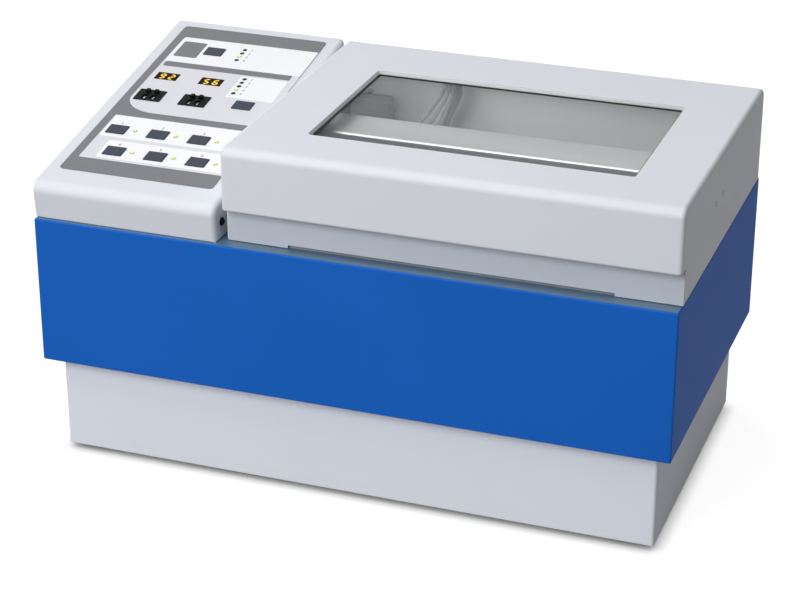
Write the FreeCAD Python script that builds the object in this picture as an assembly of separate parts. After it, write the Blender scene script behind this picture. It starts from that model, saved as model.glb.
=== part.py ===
import FreeCAD, Part
import math
import os

# Six-place sample evaporator with a water bath, a hinged gas lid and a sloping control panel.
# Millimetres. +X is to the right, +Y to the back, +Z up. The origin is on the floor, under the
# middle of the whole object.

os.makedirs("parts", exist_ok=True)

X_AXIS = FreeCAD.Vector(1, 0, 0)
Y_AXIS = FreeCAD.Vector(0, 1, 0)
Z_AXIS = FreeCAD.Vector(0, 0, 1)
PARALLEL_SHARE = 0.999

# General clearances
overrun = 1.0
seat_gap = 0.3
running_gap = 0.05

# Sample tubes and the row that holds them
cell_count = 6
tube_radius = 25.0
tube_clearance = 1.0
cell_web = 8.0
cell_pitch = 2 * (tube_radius + tube_clearance) + cell_web

# Sheets and walls
pan_sheet = 1.5
band_sheet = 2.0
housing_wall = 2.5
lid_wall = 3.0
tank_sheet = 1.2

# Bath seal between the lid's walls and the tank's flange
seal_width = 6.0
seal_height = 7.0
seal_clearance = 0.5
flange_to_seal = 3.5

# Bath tank
tank_end_room = 4.5
tank_depth = 166.0
tank_corner = 4.0
tank_floor_round = 3.0
flange_width = 10.0
tank_length = cell_count * cell_pitch + 2 * tank_end_room

# Lid
lid_width = tank_length + 2 * (flange_width + flange_to_seal + seal_width + seal_clearance + lid_wall)
lid_height = 91.5
lid_gap = 0.7
lid_setback = 3.5
lid_rear_inset = 3.0
lid_long_round = 9.0
lid_end_round = 4.0
lid_lip_round = 2.5
fascia_drop = 59.7
rail_setback = 14.4
rail_thickness = 2.5
rail_groove = 1.2
rail_left_inset = 2.0
rail_tongue = 9.0
rail_end_gap = 0.3
notch_left_margin = 58.6
notch_right_margin = 59.0
notch_height = 2.8
front_room = 24.6
service_depth = 80.5

# Window in the lid
window_left_margin = 61.7
window_right_margin = 58.5
window_front_margin = 59.5
window_rear_margin = 82.0
window_corner = 2.0
window_bevel = 2.0
gasket_thickness = 1.5
gasket_lip = 1.0
gasket_overlap = 13.0
glass_thickness = 4.0
glass_edge_inset = 1.0

# Cabinet
cover_gap = 6.0
housing_width = 179.0
band_width = housing_width + cover_gap + lid_width
band_depth = (rail_setback + rail_thickness + seal_clearance + seal_width + front_room
              + flange_width + tank_depth + flange_width + service_depth
              + seal_width + seal_clearance + lid_wall + lid_rear_inset)
band_height = 142.5
band_round = 1.8
band_ledge = 8.0
band_flange = 18.0
base_height = 92.5
base_inset = 14.0
base_rear_inset = 16.0
base_corner = 3.0
base_bottom_round = 1.2
deck_clearance = 0.6

# Feet and their screws
foot_height = 5.0
foot_radius = 13.0
foot_taper = 1.5
foot_inset = 26.0
foot_recess_radius = 5.0
foot_recess_depth = 2.6
screw_radius = 2.0
screw_head_radius = 3.8
screw_head_height = 2.2
screw_head_taper = 0.6
screw_length = 9.0
screw_clearance = 0.1

# Vents in the base's back wall
vent_count = 9
vent_width = 3.6
vent_pitch = 8.0
vent_height = 34.0
vent_rise = 28.0
vent_from_left = 190.0

# Rear fittings stand this far behind the cabinet
spigot_reach = 24.0

# Control housing
housing_front_height = 34.2
panel_slope = 9.73
housing_setback = 0.8
housing_tuck = 4.5
housing_front_round = 11.0
housing_rear_round = 3.0
housing_left_round = 1.5
housing_right_round = 5.0
shadow_gap = 1.0
lip_inset = 1.2

# Panel sheet on the slope, and the board below it
overlay_thickness = 0.6
overlay_left_margin = 10.0
overlay_right_margin = 14.0
overlay_front_margin = 31.0
overlay_rear_margin = 13.8
overlay_corner = 3.0
board_drop = 15.0
board_thickness = 1.6
board_margin = 2.0
boss_radius = 3.0
boss_inset = 5.0

# Push buttons: places are shares of the panel sheet's width and length
button_width = 19.3
button_length = 15.1
button_corner = 1.2
button_height = 1.0
button_travel = 0.8
button_skirt = 1.2
button_skirt_height = 1.2
stem_radius = 1.6
stem_clearance = 0.3
switch_width = 7.0
switch_height = 5.0
switch_bore_depth = 4.0
stem_engagement = 1.2
mode_button_share = (0.343, 0.8415)
select_button_share = (0.794, 0.514)
cell_first_share = 0.162
cell_step_share = 0.2687
cell_shift_share = 0.094
cell_rows_share = (0.268, 0.1376)
cells_per_row = cell_count // 2

# Number displays
display_width = 22.8
display_length = 13.4
display_recess = 0.2
display_clearance = 0.25
display_s_share = 0.641
display_x_shares = (0.181, 0.480)

# Lamps
lamp_radius = 2.1
lamp_clearance = 0.2
lamp_stand = 0.4
lamp_pitch = 7.1
lamp_gap = 8.2
lamp_rise = 1.0
mode_lamp_count = 4
status_lamp_count = 5
mode_lamp_share = (0.525, 0.879)
status_lamp_share = (0.674, 0.684)

# Push-wheel switches: two digit wheels and two push tabs in each frame
wheel_count = 2
wheel_width = 5.6
wheel_radius = 5.2
wheel_faces = 10
wheel_gap = 0.3
column_gap = 3.2
frame_side = 5.0
frame_wall = 1.6
frame_web = 1.9
frame_overhang = 0.8
frame_window_wall = 0.6
bezel_height = 0.6
bezel_corner = 0.8
frame_floor = 1.2
axle_radius = 1.0
axle_reach = 1.0
digit_window_width = 4.8
digit_window_length = 7.5
tab_width = 4.0
tab_length = 4.0
tab_clearance = 0.2
tab_height = 2.8
tab_round = 0.8
tab_travel = 2.5
tab_depth = 5.0
switch_s_share = 0.5045
switch_x_shares = (0.179, 0.478)
column_pitch = wheel_width + column_gap
frame_width = column_pitch * wheel_count + 2 * frame_side
frame_length = 2 * (frame_wall + wheel_radius + wheel_gap + tab_clearance) + frame_web + tab_length

# Sensor in the gap between the housing and the lid
sensor_radius = 2.6
sensor_reach = 2.4
sensor_body = 12.0
sensor_collar = 1.2
sensor_setback = 17.0
sensor_rise = 16.0

# Gas manifold across the lid, its screws and nozzles
manifold_depth = 48.5
manifold_height = 52.0
manifold_drop = 16.3
manifold_wall = 2.5
manifold_end_wall = 5.0
manifold_round = 2.4
side_screw_radius = 1.6
side_screw_head = 3.0
side_screw_sink = 1.7
side_screw_length = 7.0
side_screw_spacing = 26.2
nozzle_neck_radius = 4.0
nozzle_nut_radius = 6.5
nozzle_nut_height = 6.0
nozzle_nut_faces = 6
nozzle_neck_rise = 4.0
nozzle_tube_radius = 1.6
nozzle_drop = 4.0
nozzle_tip_run = 7.0
nozzle_tip_angle = 32.0
nozzle_bend_radius = 6.0

# Gas lines: three columns and two rows of thin tube
line_radius = 1.6
line_columns = 3
line_pitch_x = 3.6
line_pitch_y = 4.0
line_bend_share = 0.45
gland_length = 22.0
gland_depth = 18.0
gland_height = 10.0
gland_flange = 3.0
gland_flange_height = 2.0
gland_round = 3.0
gland_from_lid = 107.0
gland_from_rear = 22.0
line_meeting_rise = 4.0
line_straight_rise = 20.0
line_straight_fall = 14.0
union_from_lid = 120.0
union_margin = 3.5
union_depth = 16.0
union_height = 18.0
union_from_rear = 14.0
union_line_drop = 13.0
feed_run_out = 7.0
feed_steep_shares = (0.16, 0.25)
feed_steep_drop = 14.5
feed_middle_shares = (0.44, 0.72)
feed_middle_drop = 26.0
feed_landing = 26.0
feed_port_shift = 5.0
feed_port_pitch = 6.0
feed_port_drop = 24.0

# Valve bank in the cabinet
rail_length = 122.0
rail_depth = 30.0
rail_height = 22.0
rail_from_lid = 66.0
rail_from_deck = 138.0
valve_width = 15.0
valve_depth = 26.0
valve_height = 34.0
valve_line_rise = 18.0
valve_line_drop = 20.0
inlet_from_rail = 18.0
inlet_pipe_radius = 4.0
inlet_bore_radius = 4.05
inlet_bore_depth = 16.0
inlet_body_radius = 7.5
inlet_flange_radius = 10.0
inlet_flange_height = 3.0
inlet_reach = 19.0

# Hinges
hinge_width = 40.0
hinge_margin = 3.0
hinge_knuckle_radius = 4.5
hinge_pin_radius = 2.2
hinge_leaf_thickness = 2.0
hinge_knuckle_count = 5
hinge_knuckle_gap = 0.3
hinge_lid_leaf = 50.0
hinge_base_leaf = 34.0
hinge_first_screw = 14.0
hinge_screw_pitch = 25.2
hinge_base_screw_pitch = 13.0
hinge_screw_length = 6.0
cap_nut_radius = 3.0
cap_nut_rim = 1.4
cap_nut_engagement = 2.8
cap_nut_steps = 4
hinge_axis_rise = 1.0
pin_overhang = 1.0

# Rack, sensors, heater and probe in the bath
rack_sheet = 2.0
rack_top_drop = 16.0
rack_floor_rise = 22.0
rack_end_gap = 5.0
rack_web = 15.0
rack_socket_radius = 15.0
rack_socket_height = 8.0
rack_socket_wall = 2.0
rack_handle_rise = 9.0
rack_handle_round = 8.0
rack_grip_length = 54.0
rack_grip_height = 12.0
rack_grip_margin = 4.0
rack_foot_width = 14.0
rack_foot_height = 16.0
rack_flange = 8.0
puck_radius = 12.0
puck_height = 14.0
puck_cup_radius = 6.0
puck_cup_depth = 5.0
puck_foot_radius = 15.0
puck_foot_height = 3.0
heater_thickness = 3.0
heater_margin = 18.0
heater_block_length = 30.0
heater_block_depth = 18.0
heater_block_height = 8.0
probe_radius = 2.5
probe_length = 60.0
probe_rise = 30.0
probe_nut_radius = 7.0
probe_nut_height = 5.0
probe_tail = 22.0
probe_from_rear = 26.0

# Exhaust
fan_size = 60.0
fan_depth = 25.0
fan_bore_radius = 28.0
fan_corner = 4.0
fan_drop = 68.0
fan_hub_radius = 11.0
fan_hub_depth = 18.0
fan_motor_radius = 10.5
fan_motor_depth = 5.0
fan_strut_width = 3.0
fan_strut_depth = 3.0
fan_strut_count = 4
fan_shaft_radius = 1.5
fan_shaft_length = 8.0
blade_count = 7
blade_gap = 1.2
blade_thickness = 1.6
blade_chord = 15.0
blade_pitch = 42.0
duct_sheet = 1.5
duct_depth = 26.0
duct_slant = 20.0
hood_from_lid = 11.0
hood_length = 39.0
hood_depth = 15.0
hood_height = 41.0
hood_from_rear = 12.0
hood_sheet = 1.5
hood_round = 2.5
hood_slot_count = 5
hood_slot_width = 3.6
hood_slot_margin = 4.0
spigot_radius = 25.0
spigot_wall = 2.0
spigot_flange_radius = 33.0
spigot_flange_height = 3.0

# Power inlet with its rocker
inlet_plate_width = 62.0
inlet_plate_height = 30.0
inlet_plate_thickness = 2.5
inlet_plate_corner = 3.0
inlet_body_width = 56.0
inlet_body_height = 25.0
inlet_body_depth = 28.0
socket_width = 24.5
socket_height = 16.5
socket_depth = 16.0
socket_corner = 3.5
socket_from_left = 8.0
contact_width = 2.0
contact_height = 6.0
contact_length = 11.0
contact_pitch = 7.0
contact_stagger = 4.0
rocker_width = 12.0
rocker_height = 20.0
rocker_radius = 26.0
rocker_thickness = 7.0
rocker_gap = 0.4
rocker_axle_radius = 1.5
rocker_axle_reach = 1.5
rocker_tilt = 9.0
rocker_from_right = 6.0
rocker_well = 14.0
inlet_from_housing_left = 92.0
inlet_plate_rise = 34.0

# Power supply on the floor of the base
supply_length = 140.0
supply_depth = 95.0
supply_height = 42.0
supply_sheet = 1.5
supply_from_left = 34.0
supply_from_front = 60.0
supply_slot_count = 8
supply_slot_width = 4.0
supply_slot_pitch = 12.0
supply_slot_length = 60.0
supply_terminal_depth = 14.0

# Drain valve
drain_from_right = 120.0
drain_below_band = 3.2
drain_rise = 11.5
drain_pipe_radius = 6.0
drain_pipe_bore = 4.0
drain_nut_radius = 11.0
drain_nut_height = 6.0
drain_body_radius = 10.0
drain_body_length = 20.0
drain_outlet_radius = 5.0
drain_outlet_length = 12.0
drain_stem_radius = 3.0
drain_stem_rise = 4.0
drain_neck_radius = 5.0
drain_neck_rise = 13.5
lever_length = 30.0
lever_width = 9.0
lever_thickness = 3.0
lever_hub_radius = 7.0
lever_hub_height = 5.0

# Main lines of the frame
left = -band_width / 2
right = band_width / 2
front = -(band_depth + spigot_reach) / 2
rear = front + band_depth
base_z = foot_height
band_z = base_z + base_height
deck_z = band_z + band_height
base_left = left + base_inset
base_right = right - base_inset
base_front = front + base_inset
base_rear = rear - base_rear_inset
floor_z = base_z + pan_sheet
housing_right = left + housing_width
lid_left = housing_right + cover_gap
lid_right = right
lid_front = front + lid_setback
lid_rear = rear - lid_rear_inset
lid_bottom = deck_z + lid_gap
lid_top = deck_z + lid_height
roof_z = lid_top - lid_wall
fascia_z = lid_top - fascia_drop
rail_front = front + rail_setback
rail_back = rail_front + rail_thickness
seal_front = rail_back + seal_clearance
seal_rear = lid_rear - lid_wall - seal_clearance
seal_left = lid_left + lid_wall + seal_clearance
seal_right = lid_right - lid_wall - seal_clearance
tank_left = seal_left + seal_width + flange_to_seal + flange_width
tank_right = tank_left + tank_length
tank_front = seal_front + seal_width + front_room + flange_width
tank_rear = tank_front + tank_depth
tank_floor = (band_z - drain_below_band - lever_hub_height - seat_gap
              - drain_neck_rise - drain_rise)
rack_half = tube_radius + tube_clearance + rack_web
row_y = tank_front + tank_depth / 2
row_x = (tank_left + tank_right) / 2
window_left = lid_left + window_left_margin
window_right = lid_right - window_right_margin
window_front = lid_front + window_front_margin
window_rear = lid_rear - window_rear_margin
manifold_top = lid_top - manifold_drop
manifold_bottom = manifold_top - manifold_height
manifold_front = row_y - manifold_depth / 2
manifold_rear = row_y + manifold_depth / 2
hinge_z = deck_z + hinge_axis_rise
hinge_y = rear + hinge_knuckle_radius
slope_length = band_depth / math.cos(math.radians(panel_slope))
overlay_width = housing_width - overlay_left_margin - overlay_right_margin
overlay_length = slope_length - overlay_front_margin - overlay_rear_margin
slope_place = FreeCAD.Placement(
    FreeCAD.Vector(left, front, deck_z + housing_front_height),
    FreeCAD.Rotation(X_AXIS, panel_slope))
cell_places = [row_x + (index - (cell_count - 1) / 2) * cell_pitch for index in range(cell_count)]


def box(x0, x1, y0, y1, z0, z1):
    return Part.makeBox(x1 - x0, y1 - y0, z1 - z0, FreeCAD.Vector(x0, y0, z0))


def edges_along(shape, direction):
    picked = []
    for edge in shape.Edges:
        if isinstance(edge.Curve, Part.Line):
            if abs(edge.tangentAt(edge.FirstParameter).dot(direction)) > PARALLEL_SHARE:
                picked.append(edge)
    return picked


def rounded_box(x0, x1, y0, y1, z0, z1, radius):
    block = box(x0, x1, y0, y1, z0, z1)
    return block.makeFillet(radius, edges_along(block, Z_AXIS))


def centred_box(x, y, width, depth, z0, z1):
    return box(x - width / 2, x + width / 2, y - depth / 2, y + depth / 2, z0, z1)


def centred_rounded_box(x, y, width, depth, z0, z1, radius):
    block = centred_box(x, y, width, depth, z0, z1)
    return block.makeFillet(radius, edges_along(block, Z_AXIS))


def rod(start, end, radius):
    run = end.sub(start)
    return Part.makeCylinder(radius, run.Length, start, run)


def upright(x, y, z0, z1, radius):
    return rod(FreeCAD.Vector(x, y, z0), FreeCAD.Vector(x, y, z1), radius)


def along_y(x, z, y0, y1, radius):
    return rod(FreeCAD.Vector(x, y0, z), FreeCAD.Vector(x, y1, z), radius)


def along_x(y, z, x0, x1, radius):
    return rod(FreeCAD.Vector(x0, y, z), FreeCAD.Vector(x1, y, z), radius)


def turned(base, axis, profile):
    """A turned piece: profile lists (radius, height) corners round one closed outline."""
    corners = [FreeCAD.Vector(radius, 0, height) for radius, height in profile]
    outline = Part.makePolygon(corners + corners[:1])
    piece = Part.Face(outline).revolve(FreeCAD.Vector(0, 0, 0), Z_AXIS, 360)
    piece.Placement = FreeCAD.Placement(base, FreeCAD.Rotation(Z_AXIS, axis))
    return piece


def side_prism(corners, x0, x1):
    """A piece with one outline of (y, z) corners all along X."""
    points = [FreeCAD.Vector(x0, y, z) for y, z in corners]
    outline = Part.makePolygon(points + points[:1])
    return Part.Face(outline).extrude(FreeCAD.Vector(x1 - x0, 0, 0))


def nut(base, axis, radius, height, faces):
    """A prism with even sides, its corners at the radius."""
    turn = 2 * math.pi / faces
    corners = [FreeCAD.Vector(radius * math.cos(turn * k), radius * math.sin(turn * k), 0)
               for k in range(faces)]
    outline = Part.makePolygon(corners + corners[:1])
    piece = Part.Face(outline).extrude(FreeCAD.Vector(0, 0, height))
    piece.Placement = FreeCAD.Placement(base, FreeCAD.Rotation(Z_AXIS, axis))
    return piece


def line_tube(points, bends, radius):
    """A tube along straight runs, with one bend radius for each inner point."""
    edges = []
    start = points[0]
    for before, corner, after, bend in zip(points, points[1:], points[2:], bends):
        inward = before.sub(corner).normalize()
        outward = after.sub(corner).normalize()
        half_turn = (math.pi - inward.getAngle(outward)) / 2
        reach = bend * math.tan(half_turn)
        arc_start = corner.add(inward * reach)
        arc_end = corner.add(outward * reach)
        centre_way = inward.add(outward).normalize()
        middle = corner.add(centre_way * (bend / math.cos(half_turn) - bend))
        if start.distanceToPoint(arc_start) > running_gap:
            edges.append(Part.LineSegment(start, arc_start).toShape())
        edges.append(Part.Arc(arc_start, middle, arc_end).toShape())
        start = arc_end
    if start.distanceToPoint(points[-1]) > running_gap:
        edges.append(Part.LineSegment(start, points[-1]).toShape())
    path = Part.Wire(edges)
    section = Part.Wire(Part.makeCircle(radius, points[0], points[1].sub(points[0])))
    return path.makePipeShell([section], True, False)


def on_slope(shape):
    """Moves a piece from the panel's own frame: X across, Y up the slope, Z out of it."""
    placed = shape.copy()
    placed.Placement = slope_place.multiply(placed.Placement)
    return placed


def panel_place(shares):
    x_share, s_share = shares
    return (overlay_left_margin + x_share * overlay_width,
            overlay_front_margin + s_share * overlay_length)


def cell_button_places():
    places = []
    for row, s_share in enumerate(cell_rows_share):
        for column in range(cells_per_row):
            x_share = cell_first_share + cell_step_share * column + cell_shift_share * row
            places.append(panel_place((x_share, s_share)))
    return places


def lamp_places():
    places = []
    for shares, count in ((mode_lamp_share, mode_lamp_count), (status_lamp_share, status_lamp_count)):
        x, s = panel_place(shares)
        places += [(x, s - lamp_pitch * index) for index in range(count)]
    lamp_offset = button_width / 2 + lamp_gap
    places += [(x + lamp_offset, s + lamp_rise) for x, s in cell_button_places()]
    return places


button_places = {"mode_button": panel_place(mode_button_share),
                 "select_button": panel_place(select_button_share)}
for number, place in enumerate(cell_button_places(), start=1):
    button_places[f"cell_{number}_button"] = place
display_places = [panel_place((x_share, display_s_share)) for x_share in display_x_shares]
switch_places = [panel_place((x_share, switch_s_share)) for x_share in switch_x_shares]
column_offsets = [(index - (wheel_count - 1) / 2) * column_pitch for index in range(wheel_count)]
bezel_top = overlay_thickness + bezel_height
wheel_s_offset = frame_wall + wheel_gap + wheel_radius - frame_length / 2
wheel_n = bezel_top - frame_window_wall - wheel_gap - wheel_radius
tab_s_offset = frame_length / 2 - frame_wall - tab_clearance - tab_length / 2
frame_bottom = wheel_n - wheel_radius - wheel_gap - frame_floor


def rubber_feet():
    feet = []
    for x, y in foot_places():
        profile = [(screw_radius + seat_gap, foot_height),
                   (screw_radius + seat_gap, foot_recess_depth),
                   (foot_recess_radius, foot_recess_depth),
                   (foot_recess_radius, 0),
                   (foot_radius - foot_taper, 0),
                   (foot_radius, foot_height)]
        feet.append(turned(FreeCAD.Vector(x, y, 0), Z_AXIS, profile))
    return Part.makeCompound(feet)


def foot_places():
    return [(x, y) for x in (base_left + foot_inset, base_right - foot_inset)
            for y in (base_front + foot_inset, base_rear - foot_inset)]


def screw(base, axis, length):
    """A screw whose head's underside is at the base, with its shank along the axis."""
    profile = [(0, -screw_head_height),
               (screw_head_radius - screw_head_taper, -screw_head_height),
               (screw_head_radius, 0),
               (screw_radius, 0),
               (screw_radius, length),
               (0, length)]
    return turned(base, axis, profile)


def hinge_places():
    return (lid_left + hinge_margin, lid_right - hinge_margin - hinge_width)


def lid_leaf_screws():
    """The (x, z) places of the screws through the leaves on the lid."""
    first = hinge_z + hinge_first_screw
    return [(start + hinge_width / 2, first + hinge_screw_pitch * index)
            for start in hinge_places() for index in range(2)]


def base_leaf_screws():
    """The (x, z) places of the screws through the leaves on the cabinet."""
    first = hinge_z - hinge_first_screw
    return [(start + hinge_width / 2, first - hinge_base_screw_pitch * index)
            for start in hinge_places() for index in range(2)]


def case_screws():
    screws = [screw(FreeCAD.Vector(x, y, foot_recess_depth), Z_AXIS, screw_length)
              for x, y in foot_places()]
    for x, z in base_leaf_screws():
        base = FreeCAD.Vector(x, rear + hinge_leaf_thickness, z)
        screws.append(screw(base, -Y_AXIS, hinge_screw_length))
    return Part.makeCompound(screws)


def base_pan():
    outer = rounded_box(base_left, base_right, base_front, base_rear, base_z, band_z, base_corner)
    bottom = [edge for edge in outer.Edges
              if edge.BoundBox.ZMax < base_z + pan_sheet]
    outer = outer.makeFillet(base_bottom_round, bottom)
    inner = rounded_box(base_left + pan_sheet, base_right - pan_sheet,
                        base_front + pan_sheet, base_rear - pan_sheet,
                        floor_z, band_z + overrun, base_corner - pan_sheet)
    cuts = [inner]
    for x, y in foot_places():
        cuts.append(upright(x, y, 0, floor_z + overrun, screw_radius + screw_clearance))
    for index in range(vent_count):
        x = base_left + vent_from_left + vent_pitch * index
        cuts.append(centred_box(x, base_rear, vent_width, 2 * (pan_sheet + overrun),
                                base_z + vent_rise, base_z + vent_rise + vent_height))
    cuts.append(box(inlet_body_left() - seat_gap, inlet_body_left() + inlet_body_width + seat_gap,
                    base_rear - pan_sheet - overrun, base_rear + overrun,
                    inlet_mid_z() - inlet_body_height / 2 - seat_gap,
                    inlet_mid_z() + inlet_body_height / 2 + seat_gap))
    cuts.append(along_y(drain_x(), drain_z(), base_rear - pan_sheet - overrun, base_rear + overrun,
                        drain_pipe_radius + screw_clearance))
    return outer.cut(cuts)


def mitred_panels(walls, x0, x1, y0, y1, z0, z1, reach):
    """Four panels of an upright frame of walls, which meet in mitres at the corners."""
    outer = [(x0, y0), (x1, y0), (x1, y1), (x0, y1)]
    inner = [(x0 + reach, y0 + reach), (x1 - reach, y0 + reach),
             (x1 - reach, y1 - reach), (x0 + reach, y1 - reach)]
    panels = []
    for index in range(len(outer)):
        after = (index + 1) % len(outer)
        corners = [outer[index], outer[after], inner[after], inner[index]]
        points = [FreeCAD.Vector(x, y, z0) for x, y in corners]
        outline = Part.makePolygon(points + points[:1])
        wedge = Part.Face(outline).extrude(FreeCAD.Vector(0, 0, z1 - z0))
        panels += walls.common(wedge).Solids
    return panels


def middle_band():
    """Four painted panels with a narrow ledge turned in at the top and a flange at the bottom."""
    outer = box(left, right, front, rear, band_z, deck_z)
    outer = outer.makeFillet(band_round, outer.Edges)
    inner = box(left + band_sheet, right - band_sheet, front + band_sheet, rear - band_sheet,
                band_z + band_sheet, deck_z - band_sheet)
    below = box(left + band_flange, right - band_flange, front + band_flange, rear - band_flange,
                band_z - overrun, band_z + band_sheet + overrun)
    cuts = [inner, below, deck_outline(deck_z - band_sheet - overrun, deck_z + overrun)]
    cuts.append(along_y(fan_x(), fan_z(), rear - band_sheet - overrun, rear + overrun,
                        fan_bore_radius - overrun))
    cuts.append(along_y(inlet_x(), rail_mid_z(), rear - band_sheet - overrun, rear + overrun,
                        inlet_pipe_radius + screw_clearance))
    for x, z in base_leaf_screws():
        cuts.append(along_y(x, z, rear - band_sheet - overrun, rear + overrun,
                            screw_radius + screw_clearance))
    panels = mitred_panels(outer.cut(cuts), left - overrun, right + overrun,
                           front - overrun, rear + overrun, band_z - overrun, deck_z + overrun,
                           band_flange + 2 * overrun)
    return Part.makeCompound(panels)


def deck_outline(z0, z1):
    return box(left + band_ledge, right - band_ledge, front + band_ledge, rear - band_ledge, z0, z1)


def deck_plate():
    """Four sheets round the tank, with the holes for the wiring, the hood and the lines."""
    low = deck_z - band_sheet - overrun
    high = deck_z + overrun
    hole_left = tank_left - tank_sheet - deck_clearance
    hole_right = tank_right + tank_sheet + deck_clearance
    hole_front = tank_front - tank_sheet - deck_clearance
    hole_rear = tank_rear + tank_sheet + deck_clearance
    tank_hole = box(hole_left, hole_right, hole_front, hole_rear, low, high)
    wiring_hole = box(left + band_flange, housing_right - band_flange,
                      front + band_flange, rear - band_flange, low, high)
    hood_hole = box(hood_left() + hood_sheet, hood_left() + hood_length - hood_sheet,
                    hood_front() + hood_sheet, hood_rear() - hood_sheet, low, high)
    bores = [upright(x, y, low, high, line_radius + screw_clearance) for x, y in line_places()]
    deck = deck_outline(deck_z - band_sheet, deck_z).cut([tank_hole, wiring_hole, hood_hole] + bores)
    sheets = []
    for x0, x1, y0, y1 in ((left, hole_left, front, rear),
                           (hole_right, right, front, rear),
                           (hole_left, hole_right, front, hole_front),
                           (hole_left, hole_right, hole_rear, rear)):
        sheets += deck.common(box(x0, x1, y0, y1, low, high)).Solids
    return Part.makeCompound(sheets)


def hood_left():
    return lid_left + hood_from_lid


def hood_rear():
    return lid_rear - hood_from_rear


def hood_front():
    return hood_rear() - hood_depth


def fan_x():
    return hood_left() + hood_length / 2


def fan_z():
    return deck_z - fan_drop


def fan_front():
    return rear - band_sheet - fan_depth


def housing_corner_z(y):
    return deck_z + housing_front_height + (y - front) * math.tan(math.radians(panel_slope))


def housing_body(wall, bottom_z):
    """The housing's outer form, or its hollow when a wall is given."""
    drop = wall / math.cos(math.radians(panel_slope))
    front_top = front + housing_setback + wall
    corners = [(front + housing_tuck + wall, bottom_z),
               (front_top, housing_corner_z(front_top) - drop),
               (rear - wall, housing_corner_z(rear - wall) - drop),
               (rear - wall, bottom_z)]
    body = side_prism(corners, left + wall, housing_right - wall)
    fronts = [edge for edge in edges_along(body, X_AXIS)
              if edge.BoundBox.ZMin > bottom_z + shadow_gap and edge.BoundBox.YMax < row_y]
    body = body.makeFillet(housing_front_round - wall, fronts)
    if wall > 0:
        return body
    rears = [edge for edge in edges_along(body, X_AXIS)
             if edge.BoundBox.ZMin > bottom_z + shadow_gap and edge.BoundBox.YMin > rear - overrun]
    body = body.makeFillet(housing_rear_round, rears)
    for side, radius in ((left, housing_left_round), (housing_right, housing_right_round)):
        ends = [edge for edge in body.Edges
                if edge.BoundBox.XLength < running_gap and edge.BoundBox.ZLength > running_gap
                and abs(edge.BoundBox.XMin - side) < running_gap]
        body = body.makeFillet(radius, ends)
    return body


def slope_slot(x, s, width, length, corner):
    return centred_rounded_box(x, s, width, length, -housing_wall - overrun,
                               overlay_thickness + overrun, corner)


def panel_cuts():
    """Every opening through the housing's top and the panel sheet, in the panel's frame."""
    cuts = []
    for x, s in button_places.values():
        cuts.append(slope_slot(x, s, button_width + 2 * seat_gap, button_length + 2 * seat_gap,
                               button_corner + seat_gap))
    for x, s in display_places:
        cuts.append(slope_slot(x, s, display_width + 2 * display_clearance,
                               display_length + 2 * display_clearance, display_clearance))
    for x, s in switch_places:
        cuts.append(slope_slot(x, s, frame_width - 2 * frame_overhang + 2 * seat_gap,
                               frame_length - 2 * frame_overhang + 2 * seat_gap, seat_gap))
    for x, s in lamp_places():
        cuts.append(upright(x, s, -housing_wall - overrun, overlay_thickness + overrun,
                            lamp_radius + lamp_clearance))
    return cuts


def boss_places():
    x0 = overlay_left_margin + boss_inset
    x1 = overlay_left_margin + overlay_width - boss_inset
    s0 = overlay_front_margin + boss_inset
    s1 = overlay_front_margin + overlay_length - boss_inset
    return [(x, s) for x in (x0, x1) for s in (s0, s1)]


def sensor_y():
    return front + sensor_setback


def sensor_z():
    return deck_z + sensor_rise


def control_housing():
    shell = housing_body(0, deck_z + shadow_gap)
    lip = box(left + lip_inset, housing_right - lip_inset,
              front + housing_tuck + lip_inset, rear - lip_inset,
              deck_z, deck_z + shadow_gap + overrun)
    shell = shell.fuse(lip).cut(housing_body(housing_wall, deck_z - overrun))
    bosses = [on_slope(upright(x, s, -board_drop, -housing_wall / 2, boss_radius))
              for x, s in boss_places()]
    sensor_hole = along_x(sensor_y(), sensor_z(), housing_right - housing_wall - overrun,
                          housing_right + overrun, sensor_radius + screw_clearance)
    shell = shell.fuse(bosses)
    return shell.cut([on_slope(cut) for cut in panel_cuts()] + [sensor_hole])


def lid_sensor():
    profile = [(0, -sensor_body),
               (sensor_radius, -sensor_body),
               (sensor_radius, 0),
               (sensor_radius + sensor_collar, 0),
               (sensor_radius + sensor_collar, sensor_collar),
               (sensor_radius, sensor_reach),
               (0, sensor_reach)]
    return turned(FreeCAD.Vector(housing_right, sensor_y(), sensor_z()), X_AXIS, profile)


def panel_overlay():
    sheet = rounded_box(overlay_left_margin, overlay_left_margin + overlay_width,
                        overlay_front_margin, overlay_front_margin + overlay_length,
                        0, overlay_thickness, overlay_corner)
    return on_slope(sheet.cut(panel_cuts()))


def control_board():
    board = box(overlay_left_margin + board_margin, overlay_left_margin + overlay_width - board_margin,
                overlay_front_margin + board_margin,
                overlay_front_margin + overlay_length - board_margin,
                -board_drop - board_thickness, -board_drop)
    pieces = [board]
    for x, s in button_places.values():
        body = centred_box(x, s, switch_width, switch_width, -board_drop, -board_drop + switch_height)
        bore = upright(x, s, -board_drop + switch_height - switch_bore_depth,
                       -board_drop + switch_height + overrun, stem_radius + stem_clearance)
        pieces.append(body.cut(bore))
    return on_slope(Part.makeCompound(pieces))


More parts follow.
